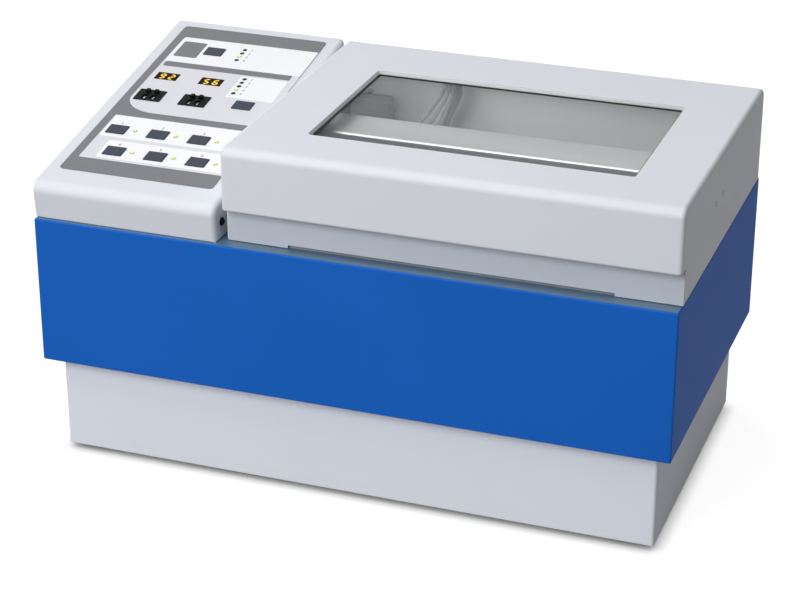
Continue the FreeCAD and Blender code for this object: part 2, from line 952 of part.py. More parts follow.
def push_button(x, s):
    """A flat cap with a skirt that holds it under the housing's top, and a stem for its switch."""
    skirt_top = -housing_wall - seat_gap
    skirt_bottom = skirt_top - button_skirt_height
    top = overlay_thickness + button_height
    cap = centred_rounded_box(x, s, button_width, button_length, skirt_bottom, top, button_corner)
    rim = [edge for edge in cap.Edges if edge.BoundBox.ZMin > top - running_gap]
    cap = cap.makeChamfer(button_height / 2, rim)
    skirt = centred_box(x, s, button_width + 2 * button_skirt, button_length + 2 * button_skirt,
                        skirt_bottom, skirt_top)
    stem = upright(x, s, -board_drop + switch_height - stem_engagement, skirt_bottom, stem_radius)
    return on_slope(cap.fuse([skirt, stem]))


def number_displays():
    top = overlay_thickness - display_recess
    return on_slope(Part.makeCompound(
        [centred_box(x, s, display_width, display_length, -board_drop, top)
         for x, s in display_places]))


def panel_lamps():
    lamps = []
    top = overlay_thickness + lamp_stand
    for x, s in lamp_places():
        profile = [(0, -board_drop),
                   (lamp_radius, -board_drop),
                   (lamp_radius, top),
                   (lamp_radius * math.cos(math.radians(45)), top + lamp_stand),
                   (0, top + lamp_stand)]
        lamps.append(turned(FreeCAD.Vector(x, s, 0), Z_AXIS, profile))
    return on_slope(Part.makeCompound(lamps))


def wheel_switch_frame(x, s):
    bezel = centred_rounded_box(x, s, frame_width, frame_length, overlay_thickness, bezel_top,
                                bezel_corner)
    body = centred_box(x, s, frame_width - 2 * frame_overhang, frame_length - 2 * frame_overhang,
                       frame_bottom, overlay_thickness)
    cuts = []
    room = wheel_radius + wheel_gap
    for offset in column_offsets:
        cuts.append(box(x + offset - wheel_width / 2 - wheel_gap, x + offset + wheel_width / 2 + wheel_gap,
                        s + wheel_s_offset - room, s + wheel_s_offset + room,
                        wheel_n - room, wheel_n + room))
        cuts.append(centred_box(x + offset, s + wheel_s_offset, digit_window_width,
                                digit_window_length, wheel_n, bezel_top + overrun))
        cuts.append(centred_box(x + offset, s + tab_s_offset, tab_width + 2 * tab_clearance,
                                tab_length + 2 * tab_clearance,
                                frame_bottom + frame_floor, bezel_top + overrun))
        reach = wheel_width / 2 + wheel_gap + axle_reach + running_gap
        cuts.append(along_x(s + wheel_s_offset, wheel_n, x + offset - reach, x + offset + reach,
                            axle_radius + running_gap))
    return bezel.fuse(body).cut(cuts)


def wheel_switch_frames():
    return on_slope(Part.makeCompound([wheel_switch_frame(x, s) for x, s in switch_places]))


def digit_wheel(x, s):
    """A ten-sided drum with one number on each side, and its two stub axles."""
    base = FreeCAD.Vector(x - wheel_width / 2, s + wheel_s_offset, wheel_n)
    drum = nut(base, X_AXIS, wheel_radius, wheel_width, wheel_faces)
    reach = wheel_width / 2 + wheel_gap + axle_reach
    axle = along_x(s + wheel_s_offset, wheel_n, x - reach, x + reach, axle_radius)
    return on_slope(drum.fuse(axle))


def push_tab(x, s):
    tab = centred_box(x, s + tab_s_offset, tab_width, tab_length, -tab_depth, bezel_top + tab_height)
    upper = [edge for edge in tab.Edges if edge.BoundBox.ZMin > bezel_top]
    return on_slope(tab.makeFillet(tab_round, upper))


def bath_tank():
    """A floor pan and four flanged walls, welded at their seams."""
    flange_top = deck_z + tank_sheet
    outer = rounded_box(tank_left - tank_sheet, tank_right + tank_sheet,
                        tank_front - tank_sheet, tank_rear + tank_sheet,
                        tank_floor - tank_sheet, flange_top, tank_corner + tank_sheet)
    low = [edge for edge in outer.Edges if edge.BoundBox.ZMax < tank_floor]
    outer = outer.makeFillet(tank_floor_round + tank_sheet, low)
    inner = rounded_box(tank_left, tank_right, tank_front, tank_rear,
                        tank_floor, flange_top + overrun, tank_corner)
    low = [edge for edge in inner.Edges if edge.BoundBox.ZMax < tank_floor + tank_sheet]
    inner = inner.makeFillet(tank_floor_round, low)
    flange = rounded_box(tank_left - flange_width, tank_right + flange_width,
                         tank_front - flange_width, tank_rear + flange_width,
                         deck_z, flange_top, tank_corner)
    drain_hole = along_y(drain_x(), drain_z(), tank_rear - overrun, tank_rear + tank_sheet + overrun,
                         drain_pipe_bore)
    probe_hole = along_x(probe_y(), probe_z(), tank_left - tank_sheet - overrun, tank_left + overrun,
                         probe_radius + screw_clearance)
    tank = outer.fuse(flange).cut([inner, drain_hole, probe_hole])
    edge = flange_width + overrun
    seam = tank_floor + tank_floor_round + tank_sheet
    below = box(tank_left - edge, tank_right + edge, tank_front - edge, tank_rear + edge,
                tank_floor - tank_sheet - overrun, seam)
    walls = mitred_panels(tank.cut(below), tank_left - edge, tank_right + edge,
                          tank_front - edge, tank_rear + edge, seam - overrun, flange_top + overrun,
                          edge + tank_corner + overrun)
    return Part.makeCompound(tank.common(below).Solids + walls)


def bath_seal():
    ring = box(seal_left, seal_right, seal_front, seal_rear, deck_z, deck_z + seal_height)
    hollow = box(seal_left + seal_width, seal_right - seal_width,
                 seal_front + seal_width, seal_rear - seal_width,
                 deck_z - overrun, deck_z + seal_height + overrun)
    return ring.cut(hollow)


def bath_heater():
    top = tank_floor - tank_sheet
    mat = box(tank_left + heater_margin, tank_right - heater_margin,
              tank_front + heater_margin, tank_rear - heater_margin,
              top - heater_thickness, top)
    terminal = centred_box(tank_left + heater_margin + heater_block_length, row_y,
                           heater_block_length, heater_block_depth,
                           top - heater_thickness - heater_block_height, top - heater_thickness)
    return mat.fuse(terminal)


def probe_y():
    return tank_rear - probe_from_rear


def probe_z():
    return tank_floor + probe_rise


def temperature_probe():
    profile = [(0, -probe_tail),
               (probe_radius, -probe_tail),
               (probe_radius, -probe_nut_height),
               (probe_nut_radius, -probe_nut_height),
               (probe_nut_radius, 0),
               (probe_radius, 0),
               (probe_radius, probe_length),
               (0, probe_length)]
    return turned(FreeCAD.Vector(tank_left - tank_sheet, probe_y(), probe_z()), X_AXIS, profile)


def rack_box(z0, z1):
    return box(tank_left + rack_end_gap + rack_sheet, tank_right - rack_end_gap - rack_sheet,
               row_y - rack_half, row_y + rack_half, z0, z1)


def rack_top_z():
    return deck_z - rack_top_drop


def rack_base_z():
    return tank_floor + rack_floor_rise


def rack_top_plate():
    top = rack_top_z()
    plate = rack_box(top - rack_sheet, top)
    holes = [upright(x, row_y, top - rack_sheet - overrun, top + overrun, tube_radius + tube_clearance)
             for x in cell_places]
    edge_strips = []
    for y0 in (row_y - rack_half, row_y + rack_half - rack_sheet):
        edge_strips.append(box(tank_left + rack_end_gap + rack_sheet,
                               tank_right - rack_end_gap - rack_sheet,
                               y0, y0 + rack_sheet, top - rack_flange, top - rack_sheet))
    return plate.cut(holes).fuse(edge_strips).removeSplitter()


def rack_base_plate():
    bottom = rack_base_z()
    plate = rack_box(bottom, bottom + rack_sheet)
    sockets = []
    bores = []
    for x in cell_places:
        sockets.append(upright(x, row_y, bottom, bottom + rack_socket_height,
                               rack_socket_radius + rack_socket_wall))
        bores.append(upright(x, row_y, bottom - overrun, bottom + rack_socket_height + overrun,
                             rack_socket_radius))
    return plate.fuse(sockets).cut(bores)


def rack_handles():
    """An upright end plate at each end, which ties the two plates, stands on two feet and has a grip."""
    top = deck_z + rack_handle_rise
    handles = []
    for x0 in (tank_left + rack_end_gap, tank_right - rack_end_gap - rack_sheet):
        x1 = x0 + rack_sheet
        plate = box(x0, x1, row_y - rack_half, row_y + rack_half, tank_floor + seat_gap, top)
        upper = [edge for edge in edges_along(plate, X_AXIS) if edge.BoundBox.ZMin > deck_z]
        plate = plate.makeFillet(rack_handle_round, upper)
        grip = box(x0 - overrun, x1 + overrun, row_y - rack_grip_length / 2, row_y + rack_grip_length / 2,
                   top - rack_grip_margin - rack_grip_height, top - rack_grip_margin)
        arch = box(x0 - overrun, x1 + overrun, row_y - rack_half + rack_foot_width,
                   row_y + rack_half - rack_foot_width, tank_floor, tank_floor + rack_foot_height)
        handles.append(plate.cut([grip, arch]))
    return Part.makeCompound(handles)


def endpoint_sensors():
    profile = [(0, 0),
               (puck_foot_radius, 0),
               (puck_foot_radius, puck_foot_height),
               (puck_radius, puck_foot_height),
               (puck_radius, puck_height),
               (puck_cup_radius, puck_height),
               (puck_cup_radius, puck_height - puck_cup_depth),
               (0, puck_height - puck_cup_depth)]
    return Part.makeCompound([turned(FreeCAD.Vector(x, row_y, tank_floor), Z_AXIS, profile)
                              for x in cell_places])


def lid_shell():
    upper = box(lid_left, lid_right, lid_front, lid_rear, fascia_z, lid_top)
    long_edges = [edge for edge in edges_along(upper, X_AXIS) if edge.BoundBox.ZMin > fascia_z + overrun]
    upper = upper.makeFillet(lid_long_round, long_edges)
    ends = [edge for edge in upper.Edges
            if edge.BoundBox.XLength < running_gap and edge.BoundBox.ZMax > fascia_z + overrun]
    upper = upper.makeFillet(lid_end_round, ends)
    lip = [edge for edge in upper.Edges if edge.BoundBox.ZMax < fascia_z + running_gap]
    upper = upper.makeFillet(lid_lip_round, lip)
    lower = box(lid_left, lid_right, rail_back, lid_rear, lid_bottom, fascia_z + 2 * lid_lip_round)
    rear_corners = [edge for edge in edges_along(lower, Z_AXIS) if edge.BoundBox.YMin > row_y]
    lower = lower.makeFillet(lid_end_round, rear_corners)
    floor = fascia_z + lid_wall
    hollow = box(lid_left + lid_wall, lid_right - lid_wall, lid_front + lid_wall, lid_rear - lid_wall,
                 floor, roof_z)
    long_edges = [edge for edge in edges_along(hollow, X_AXIS) if edge.BoundBox.ZMin > floor + overrun]
    hollow = hollow.makeFillet(lid_long_round - lid_wall, long_edges)
    mouth = box(lid_left + lid_wall, lid_right - lid_wall, rail_front - rail_groove, lid_rear - lid_wall,
                lid_bottom - overrun, floor + overrun)
    window = rounded_box(window_left, window_right, window_front, window_rear,
                         roof_z - overrun, lid_top + overrun, window_corner)
    flare = rounded_box(window_left - window_bevel, window_right + window_bevel,
                        window_front - window_bevel, window_rear + window_bevel,
                        lid_top - window_bevel, lid_top + overrun, window_corner + window_bevel)
    low = [edge for edge in flare.Edges if edge.BoundBox.ZMax < lid_top - window_bevel / 2]
    flare = flare.makeChamfer(window_bevel, low)
    cuts = [hollow, mouth, window, flare]
    for side, way in ((lid_left, X_AXIS), (lid_right, -X_AXIS)):
        cuts += [side_screw_hole(side, y, way) for y in side_screw_y()]
    for x, z in lid_leaf_screws():
        cuts.append(along_y(x, z, lid_rear - lid_wall - overrun, lid_rear + overrun,
                            screw_radius + screw_clearance))
    return upper.fuse(lower).removeSplitter().cut(cuts)


def side_screw_y():
    return (row_y - side_screw_spacing / 2, row_y + side_screw_spacing / 2)


def side_screw_z():
    return (manifold_top + manifold_bottom) / 2


def side_screw_hole(side, y, way):
    profile = [(0, 0),
               (side_screw_head + screw_clearance, 0),
               (side_screw_radius + screw_clearance, side_screw_sink),
               (side_screw_radius + screw_clearance, lid_wall + overrun),
               (0, lid_wall + overrun)]
    return turned(FreeCAD.Vector(side, y, side_screw_z()), way, profile)


def manifold_screws():
    profile = [(0, 0),
               (side_screw_head, 0),
               (side_screw_radius, side_screw_sink),
               (side_screw_radius, side_screw_length),
               (0, side_screw_length)]
    screws = []
    for side, way in ((lid_left, X_AXIS), (lid_right, -X_AXIS)):
        for y in side_screw_y():
            screws.append(turned(FreeCAD.Vector(side, y, side_screw_z()), way, profile))
    return Part.makeCompound(screws)


def lid_front_rail():
    face = box(lid_left + rail_left_inset, lid_right, rail_front, rail_back, lid_bottom, fascia_z)
    tongue = box(lid_left + lid_wall + rail_end_gap, lid_right - lid_wall - rail_end_gap,
                 rail_front, rail_back, fascia_z, fascia_z + rail_tongue)
    notch = box(lid_left + notch_left_margin, lid_right - notch_right_margin,
                rail_front - overrun, rail_back + overrun, lid_bottom - overrun, lid_bottom + notch_height)
    return face.fuse(tongue).removeSplitter().cut(notch)


def window_ring(outward, inward, z0, z1):
    ring = rounded_box(window_left - outward, window_right + outward,
                       window_front - outward, window_rear + outward, z0, z1, window_corner)
    hole = rounded_box(window_left + inward, window_right - inward,
                       window_front + inward, window_rear - inward,
                       z0 - overrun, z1 + overrun, window_corner)
    return ring.cut(hole)


def window_gasket():
    return window_ring(gasket_overlap, gasket_lip, roof_z - gasket_thickness, roof_z)


def window_glass():
    edge = gasket_overlap - glass_edge_inset
    top = roof_z - gasket_thickness
    return rounded_box(window_left - edge, window_right + edge, window_front - edge, window_rear + edge,
                       top - glass_thickness, top, window_corner)


def gas_manifold():
    """A closed channel with its ends against the lid's side walls."""
    x0 = lid_left + lid_wall
    x1 = lid_right - lid_wall
    outer = box(x0, x1, manifold_front, manifold_rear, manifold_bottom, manifold_top)
    outer = outer.makeFillet(manifold_round, edges_along(outer, X_AXIS))
    inner = box(x0 + manifold_end_wall, x1 - manifold_end_wall,
                manifold_front + manifold_wall, manifold_rear - manifold_wall,
                manifold_bottom + manifold_wall, manifold_top - manifold_wall)
    cuts = [inner]
    for x in cell_places:
        cuts.append(upright(x, row_y, manifold_bottom - overrun, manifold_bottom + manifold_wall + overrun,
                            nozzle_neck_radius + screw_clearance))
    for x in feed_ports():
        cuts.append(along_y(x, feed_z(), manifold_rear - manifold_wall - overrun,
                            manifold_rear + overrun, line_radius + screw_clearance))
    for side, way in ((x0, 1), (x1, -1)):
        for y in side_screw_y():
            depth = side_screw_length - lid_wall + overrun
            cuts.append(rod(FreeCAD.Vector(side - way * overrun, y, side_screw_z()),
                            FreeCAD.Vector(side + way * depth, y, side_screw_z()),
                            side_screw_radius + screw_clearance))
    return outer.cut(cuts)


def gas_nozzle(x):
    """A threaded neck with its nut under the manifold, and a tube whose end points at the tube wall."""
    neck = upright(x, row_y, manifold_bottom - nozzle_nut_height, manifold_bottom + nozzle_neck_rise,
                   nozzle_neck_radius)
    hexagon = nut(FreeCAD.Vector(x, row_y, manifold_bottom - nozzle_nut_height), Z_AXIS,
                  nozzle_nut_radius, nozzle_nut_height, nozzle_nut_faces)
    tip_angle = math.radians(nozzle_tip_angle)
    bend_z = deck_z - nozzle_drop + nozzle_tip_run * math.cos(tip_angle)
    bend_point = FreeCAD.Vector(x, row_y, bend_z)
    tip = FreeCAD.Vector(x + nozzle_tip_run * math.sin(tip_angle), row_y, deck_z - nozzle_drop)
    start = FreeCAD.Vector(x, row_y, manifold_bottom - nozzle_nut_height)
    tube = line_tube([start, bend_point, tip], [nozzle_bend_radius], nozzle_tube_radius)
    return neck.fuse([hexagon, tube])


def gas_nozzles():
    return Part.makeCompound([gas_nozzle(x) for x in cell_places])


def line_grid(x, y):
    """The places of the six lines in a bundle, the front row first."""
    rows = cell_count // line_columns
    return [(x + (column - (line_columns - 1) / 2) * line_pitch_x,
             y + (row - (rows - 1) / 2) * line_pitch_y)
            for column in range(line_columns) for row in range(rows)]


def gland_x():
    return lid_left + gland_from_lid


def bundle_y():
    return lid_rear - lid_wall - gland_from_rear


def line_places():
    return line_grid(gland_x(), bundle_y())


def union_x():
    return lid_left + union_from_lid


def union_bottom():
    return roof_z - union_height


def union_front():
    return bundle_y() - union_depth / 2


def easy_tube(points, radius):
    """A tube whose bends each use the same share of the shorter run beside them."""
    bends = []
    for before, corner, after in zip(points, points[1:], points[2:]):
        inward = before.sub(corner)
        outward = after.sub(corner)
        half_turn = (math.pi - inward.getAngle(outward)) / 2
        shorter = min(inward.Length, outward.Length)
        bends.append(line_bend_share * shorter / math.tan(half_turn))
    return line_tube(points, bends, radius)


def gas_bulkhead():
    """A gland on the deck that holds the six lines side by side."""
    body = centred_rounded_box(gland_x(), bundle_y(), gland_length, gland_depth,
                               deck_z, deck_z + gland_height, gland_round)
    flange = centred_rounded_box(gland_x(), bundle_y(), gland_length + 2 * gland_flange,
                                 gland_depth + 2 * gland_flange,
                                 deck_z, deck_z + gland_flange_height, gland_round + gland_flange)
    bores = [upright(x, y, deck_z - overrun, deck_z + gland_height + overrun,
                     line_radius + screw_clearance) for x, y in line_places()]
    return body.fuse(flange).cut(bores)


def gas_lines():
    """The six lines between the gland and the union, which bend as the lid opens."""
    tubes = []
    low = deck_z + line_meeting_rise + seat_gap
    for (x, y), (top_x, top_y) in zip(line_places(), line_grid(union_x(), bundle_y())):
        tubes.append(easy_tube([FreeCAD.Vector(x, y, low),
                                FreeCAD.Vector(x, y, low + line_straight_rise),
                                FreeCAD.Vector(top_x, top_y, union_bottom() - line_straight_fall),
                                FreeCAD.Vector(top_x, top_y, union_bottom())], line_radius))
    return Part.makeCompound(tubes)


def union_block():
    """A block on the lid's roof where the lines turn towards the front."""
    width = (line_columns - 1) * line_pitch_x + 2 * (line_radius + union_margin)
    return centred_box(union_x(), bundle_y(), width, union_depth, union_bottom(), roof_z)


def feed_ports():
    """The places along X of the six ports in the manifold's back face."""
    middle = union_x() - feed_port_shift
    return [middle + (index - (cell_count - 1) / 2) * feed_port_pitch for index in range(cell_count)]


def feed_z():
    return manifold_top - feed_port_drop


def gas_feed_lines():
    """The union, and six lines that drop, fan out forward and land in the manifold's back face."""
    pieces = [union_block()]
    steep_y_share, steep_x_share = feed_steep_shares
    middle_y_share, middle_x_share = feed_middle_shares
    run = manifold_rear - union_front()
    for (x, row_offset), port_x in zip(line_grid(union_x(), 0), feed_ports()):
        z = roof_z - union_line_drop + row_offset
        y = union_front() - row_offset
        points = [FreeCAD.Vector(x, union_front(), z),
                  FreeCAD.Vector(x, y - feed_run_out, z),
                  FreeCAD.Vector(x + steep_x_share * (port_x - x), y + steep_y_share * run,
                                 z - feed_steep_drop),
                  FreeCAD.Vector(x + middle_x_share * (port_x - x), y + middle_y_share * run,
                                 z - feed_middle_drop),
                  FreeCAD.Vector(port_x, manifold_rear + feed_landing, feed_z()),
                  FreeCAD.Vector(port_x, manifold_rear - manifold_wall, feed_z())]
        pieces.append(easy_tube(points, line_radius))
    return Part.makeCompound(pieces)


def rail_mid_z():
    return deck_z - rail_from_deck + rail_height / 2


def rail_left():
    return lid_left + rail_from_lid


def inlet_x():
    return rail_left() + inlet_from_rail


def valve_x(index):
    pitch = rail_length / cell_count
    return rail_left() + pitch * (index + 1 / 2)


def valve_bank():
    """A rail on the cabinet's back wall with six valves on top."""
    back = rear - band_sheet
    bottom = deck_z - rail_from_deck
    rail = box(rail_left(), rail_left() + rail_length, back - rail_depth, back,
               bottom, bottom + rail_height)
    pieces = [rail]
    for index in range(cell_count):
        body = centred_box(valve_x(index), back - rail_depth / 2, valve_width, valve_depth,
                           bottom + rail_height, bottom + rail_height + valve_height)
        pieces.append(body)
    return Part.makeCompound(pieces)


def cabinet_gas_lines():
    """Six lines from the valves up into the gland on the deck."""
    valve_top = deck_z - rail_from_deck + rail_height + valve_height
    valve_y = rear - band_sheet - rail_depth / 2
    tubes = []
    for index, (x, y) in enumerate(line_places()):
        tubes.append(easy_tube([FreeCAD.Vector(valve_x(index), valve_y, valve_top),
                                FreeCAD.Vector(valve_x(index), valve_y, valve_top + valve_line_rise),
                                FreeCAD.Vector(x, y, deck_z - valve_line_drop),
                                FreeCAD.Vector(x, y, deck_z + line_meeting_rise)], line_radius))
    return Part.makeCompound(tubes)


def gas_inlet():
    profile = [(0, -band_sheet),
               (inlet_pipe_radius, -band_sheet),
               (inlet_pipe_radius, 0),
               (inlet_flange_radius, 0),
               (inlet_flange_radius, inlet_flange_height),
               (inlet_body_radius, inlet_flange_height),
               (inlet_body_radius, inlet_reach),
               (inlet_bore_radius, inlet_reach),
               (inlet_bore_radius, inlet_reach - inlet_bore_depth),
               (0, inlet_reach - inlet_bore_depth)]
    return turned(FreeCAD.Vector(inlet_x(), rear, rail_mid_z()), Y_AXIS, profile)


def knuckle_span(start, index):
    """The place along X of one knuckle, with a gap at each end."""
    step = hinge_width / hinge_knuckle_count
    x0 = start + step * index + hinge_knuckle_gap / 2
    return x0, x0 + step - hinge_knuckle_gap


def hinge_leaves(first_knuckle, leaf_low, leaf_high, wall_y):
    """One leaf for each hinge: a flat plate on the wall and every second knuckle."""
    leaves = []
    for start in hinge_places():
        x0, x1 = start, start + hinge_width
        leaf = box(x0, x1, wall_y, wall_y + hinge_leaf_thickness, leaf_low, leaf_high)
        knuckles = []
        gaps = []
        for index in range(hinge_knuckle_count):
            k0, k1 = knuckle_span(start, index)
            if index % 2 == first_knuckle:
                knuckles.append(along_x(hinge_y, hinge_z, k0, k1, hinge_knuckle_radius))
                knuckles.append(box(k0, k1, wall_y, hinge_y,
                                    max(leaf_low, hinge_z - hinge_knuckle_radius),
                                    min(leaf_high, hinge_z + hinge_knuckle_radius)))
            else:
                room = hinge_knuckle_radius + hinge_knuckle_gap
                gaps.append(along_x(hinge_y, hinge_z, k0 - hinge_knuckle_gap, k1 + hinge_knuckle_gap, room))
        leaves.append(leaf.cut(gaps).fuse(knuckles))
    return leaves


def hinge_base_leaves():
    """The leaves on the cabinet, each with the pin that is staked in its knuckles."""
    leaves = hinge_leaves(0, hinge_z - hinge_base_leaf, hinge_z - seat_gap, rear)
    holes = [along_y(x, z, rear - overrun, rear + hinge_leaf_thickness + overrun,
                     screw_radius + screw_clearance) for x, z in base_leaf_screws()]
    pins = [along_x(hinge_y, hinge_z, start - pin_overhang, start + hinge_width + pin_overhang,
                    hinge_pin_radius) for start in hinge_places()]
    return Part.makeCompound([leaf.cut(holes).fuse(pin) for leaf, pin in zip(leaves, pins)])


def hinge_lid_leaves():
    leaves = hinge_leaves(1, hinge_z + seat_gap, hinge_z + hinge_lid_leaf, lid_rear)
    holes = [along_y(x, z, lid_rear - overrun, lid_rear + hinge_leaf_thickness + overrun,
                     screw_radius + screw_clearance) for x, z in lid_leaf_screws()]
    holes += [along_x(hinge_y, hinge_z, start - overrun, start + hinge_width + overrun,
                      hinge_pin_radius + running_gap) for start in hinge_places()]
    return Part.makeCompound([leaf.cut(holes) for leaf in leaves])


def cap_nut(x, z):
    """A domed nut on the inside of the lid's back wall."""
    bore = screw_radius + screw_clearance
    dome = []
    for step in range(cap_nut_steps):
        turn = math.pi / 2 * step / cap_nut_steps
        dome.append((cap_nut_radius * math.cos(turn), cap_nut_rim + cap_nut_radius * math.sin(turn)))
    profile = ([(bore, 0), (cap_nut_radius, 0)] + dome
               + [(0, cap_nut_rim + cap_nut_radius),
                  (0, cap_nut_engagement + screw_clearance),
                  (bore, cap_nut_engagement + screw_clearance)])
    return turned(FreeCAD.Vector(x, lid_rear - lid_wall, z), -Y_AXIS, profile)


def lid_hinge_screws():
    """The screws through the lid's leaves and its back wall, each with its cap nut."""
    length = hinge_leaf_thickness + lid_wall + cap_nut_engagement
    pieces = []
    for x, z in lid_leaf_screws():
        pieces.append(screw(FreeCAD.Vector(x, lid_rear + hinge_leaf_thickness, z), -Y_AXIS, length))
        pieces.append(cap_nut(x, z))
    return pieces


def exhaust_hood():
    """An intake that stands on the deck inside the lid, with its slots towards the lid's back wall."""
    x0 = hood_left()
    x1 = x0 + hood_length
    outer = box(x0, x1, hood_front(), hood_rear(), deck_z, deck_z + hood_height)
    bent = [edge for edge in edges_along(outer, X_AXIS) if edge.BoundBox.ZMin > deck_z]
    outer = outer.makeFillet(hood_round, bent)
    inner = box(x0 + hood_sheet, x1 - hood_sheet, hood_front() + hood_sheet, hood_rear() - hood_sheet,
                deck_z - overrun, deck_z + hood_height - hood_sheet)
    bent = [edge for edge in edges_along(inner, X_AXIS) if edge.BoundBox.ZMin > deck_z]
    inner = inner.makeFillet(hood_round - hood_sheet, bent)
    pitch = (hood_length - 2 * hood_slot_margin) / hood_slot_count
    slots = [centred_box(x0 + hood_slot_margin + pitch * (index + 1 / 2), hood_rear(),
                         hood_slot_width, 2 * (hood_sheet + overrun),
                         deck_z + hood_slot_margin, deck_z + hood_height - hood_slot_margin)
             for index in range(hood_slot_count)]
    return outer.cut([inner] + slots)


def exhaust_duct():
    """The intake, and a sheet duct from under the deck that widens forward to the fan."""
    half = fan_size / 2
    top = deck_z - band_sheet
    fan_top = fan_z() + half
    fan_bottom = fan_z() - half
    duct_front = fan_front() - duct_depth
    sheet = duct_sheet
    outside = [(hood_front(), top), (duct_front, fan_top), (duct_front, fan_bottom + duct_slant),
               (fan_front(), fan_bottom), (fan_front(), fan_top + sheet), (hood_rear(), fan_top + sheet),
               (hood_rear(), top)]
    inside = [(hood_front() + sheet, top + overrun), (duct_front + sheet, fan_top),
              (duct_front + sheet, fan_bottom + duct_slant + sheet),
              (fan_front() - sheet, fan_bottom + 2 * sheet), (fan_front() - sheet, fan_top + 2 * sheet),
              (hood_rear() - sheet, fan_top + 2 * sheet), (hood_rear() - sheet, top + overrun)]
    outer = side_prism(outside, fan_x() - half, fan_x() + half)
    inner = side_prism(inside, fan_x() - half + sheet, fan_x() + half - sheet)
    mouth = along_y(fan_x(), fan_z(), fan_front() - sheet - overrun, fan_front() + overrun,
                    fan_bore_radius)
    return Part.makeCompound([exhaust_hood(), outer.cut([inner, mouth])])


def fan_case():
    front_y = fan_front()
    back_y = rear - band_sheet
    half = fan_size / 2
    block = box(fan_x() - half, fan_x() + half, front_y, back_y, fan_z() - half, fan_z() + half)
    block = block.makeFillet(fan_corner, edges_along(block, Y_AXIS))
    block = block.cut(along_y(fan_x(), fan_z(), front_y - overrun, back_y + overrun, fan_bore_radius))
    motor = along_y(fan_x(), fan_z(), back_y - fan_motor_depth, back_y, fan_motor_radius)
    struts = []
    for index in range(fan_strut_count):
        strut = box(fan_x() + fan_motor_radius - overrun, fan_x() + fan_bore_radius + overrun,
                    back_y - fan_strut_depth, back_y,
                    fan_z() - fan_strut_width / 2, fan_z() + fan_strut_width / 2)
        centre = FreeCAD.Vector(fan_x(), back_y, fan_z())
        struts.append(strut.rotate(centre, Y_AXIS, 360 / fan_strut_count * (index + 1 / 2)))
    bore = along_y(fan_x(), fan_z(), back_y - fan_motor_depth - overrun, back_y + overrun,
                   fan_shaft_radius + running_gap)
    return block.fuse([motor] + struts).cut(bore)


def fan_impeller():
    hub_front = fan_front() + overrun
    hub_back = hub_front + fan_hub_depth
    hub = along_y(fan_x(), fan_z(), hub_front, hub_back, fan_hub_radius)
    shaft_back = min(hub_back + fan_shaft_length, rear - band_sheet)
    shaft = along_y(fan_x(), fan_z(), hub_front, shaft_back, fan_shaft_radius)
    centre = FreeCAD.Vector(fan_x(), 0, fan_z())
    middle_y = (hub_front + hub_back) / 2
    blade_end = fan_bore_radius - blade_gap
    blades = []
    for index in range(blade_count):
        blade = box(fan_x() - blade_thickness / 2, fan_x() + blade_thickness / 2,
                    middle_y - blade_chord / 2, middle_y + blade_chord / 2,
                    fan_z() + fan_hub_radius - overrun, fan_z() + blade_end)
        blade = blade.rotate(FreeCAD.Vector(fan_x(), middle_y, fan_z()), Z_AXIS, blade_pitch)
        blades.append(blade.rotate(centre, Y_AXIS, 360 / blade_count * index))
    sweep = along_y(fan_x(), fan_z(), hub_front - overrun, hub_back + overrun, blade_end)
    blades = [blade.common(sweep) for blade in blades]
    return hub.fuse([shaft] + blades)


def exhaust_spigot():
    profile = [(spigot_radius - spigot_wall, 0),
               (spigot_flange_radius, 0),
               (spigot_flange_radius, spigot_flange_height),
               (spigot_radius, spigot_flange_height),
               (spigot_radius, spigot_reach),
               (spigot_radius - spigot_wall, spigot_reach)]
    return turned(FreeCAD.Vector(fan_x(), rear, fan_z()), Y_AXIS, profile)


def inlet_mid_z():
    return base_z + inlet_plate_rise + inlet_plate_height / 2


def inlet_body_left():
    return left + inlet_from_housing_left - inlet_body_width / 2


def socket_x():
    return inlet_body_left() + socket_from_left + socket_width / 2


def rocker_x():
    return inlet_body_left() + inlet_body_width - rocker_from_right - rocker_width / 2


def rocker_pivot_y():
    return base_rear + inlet_plate_thickness - rocker_thickness / 2


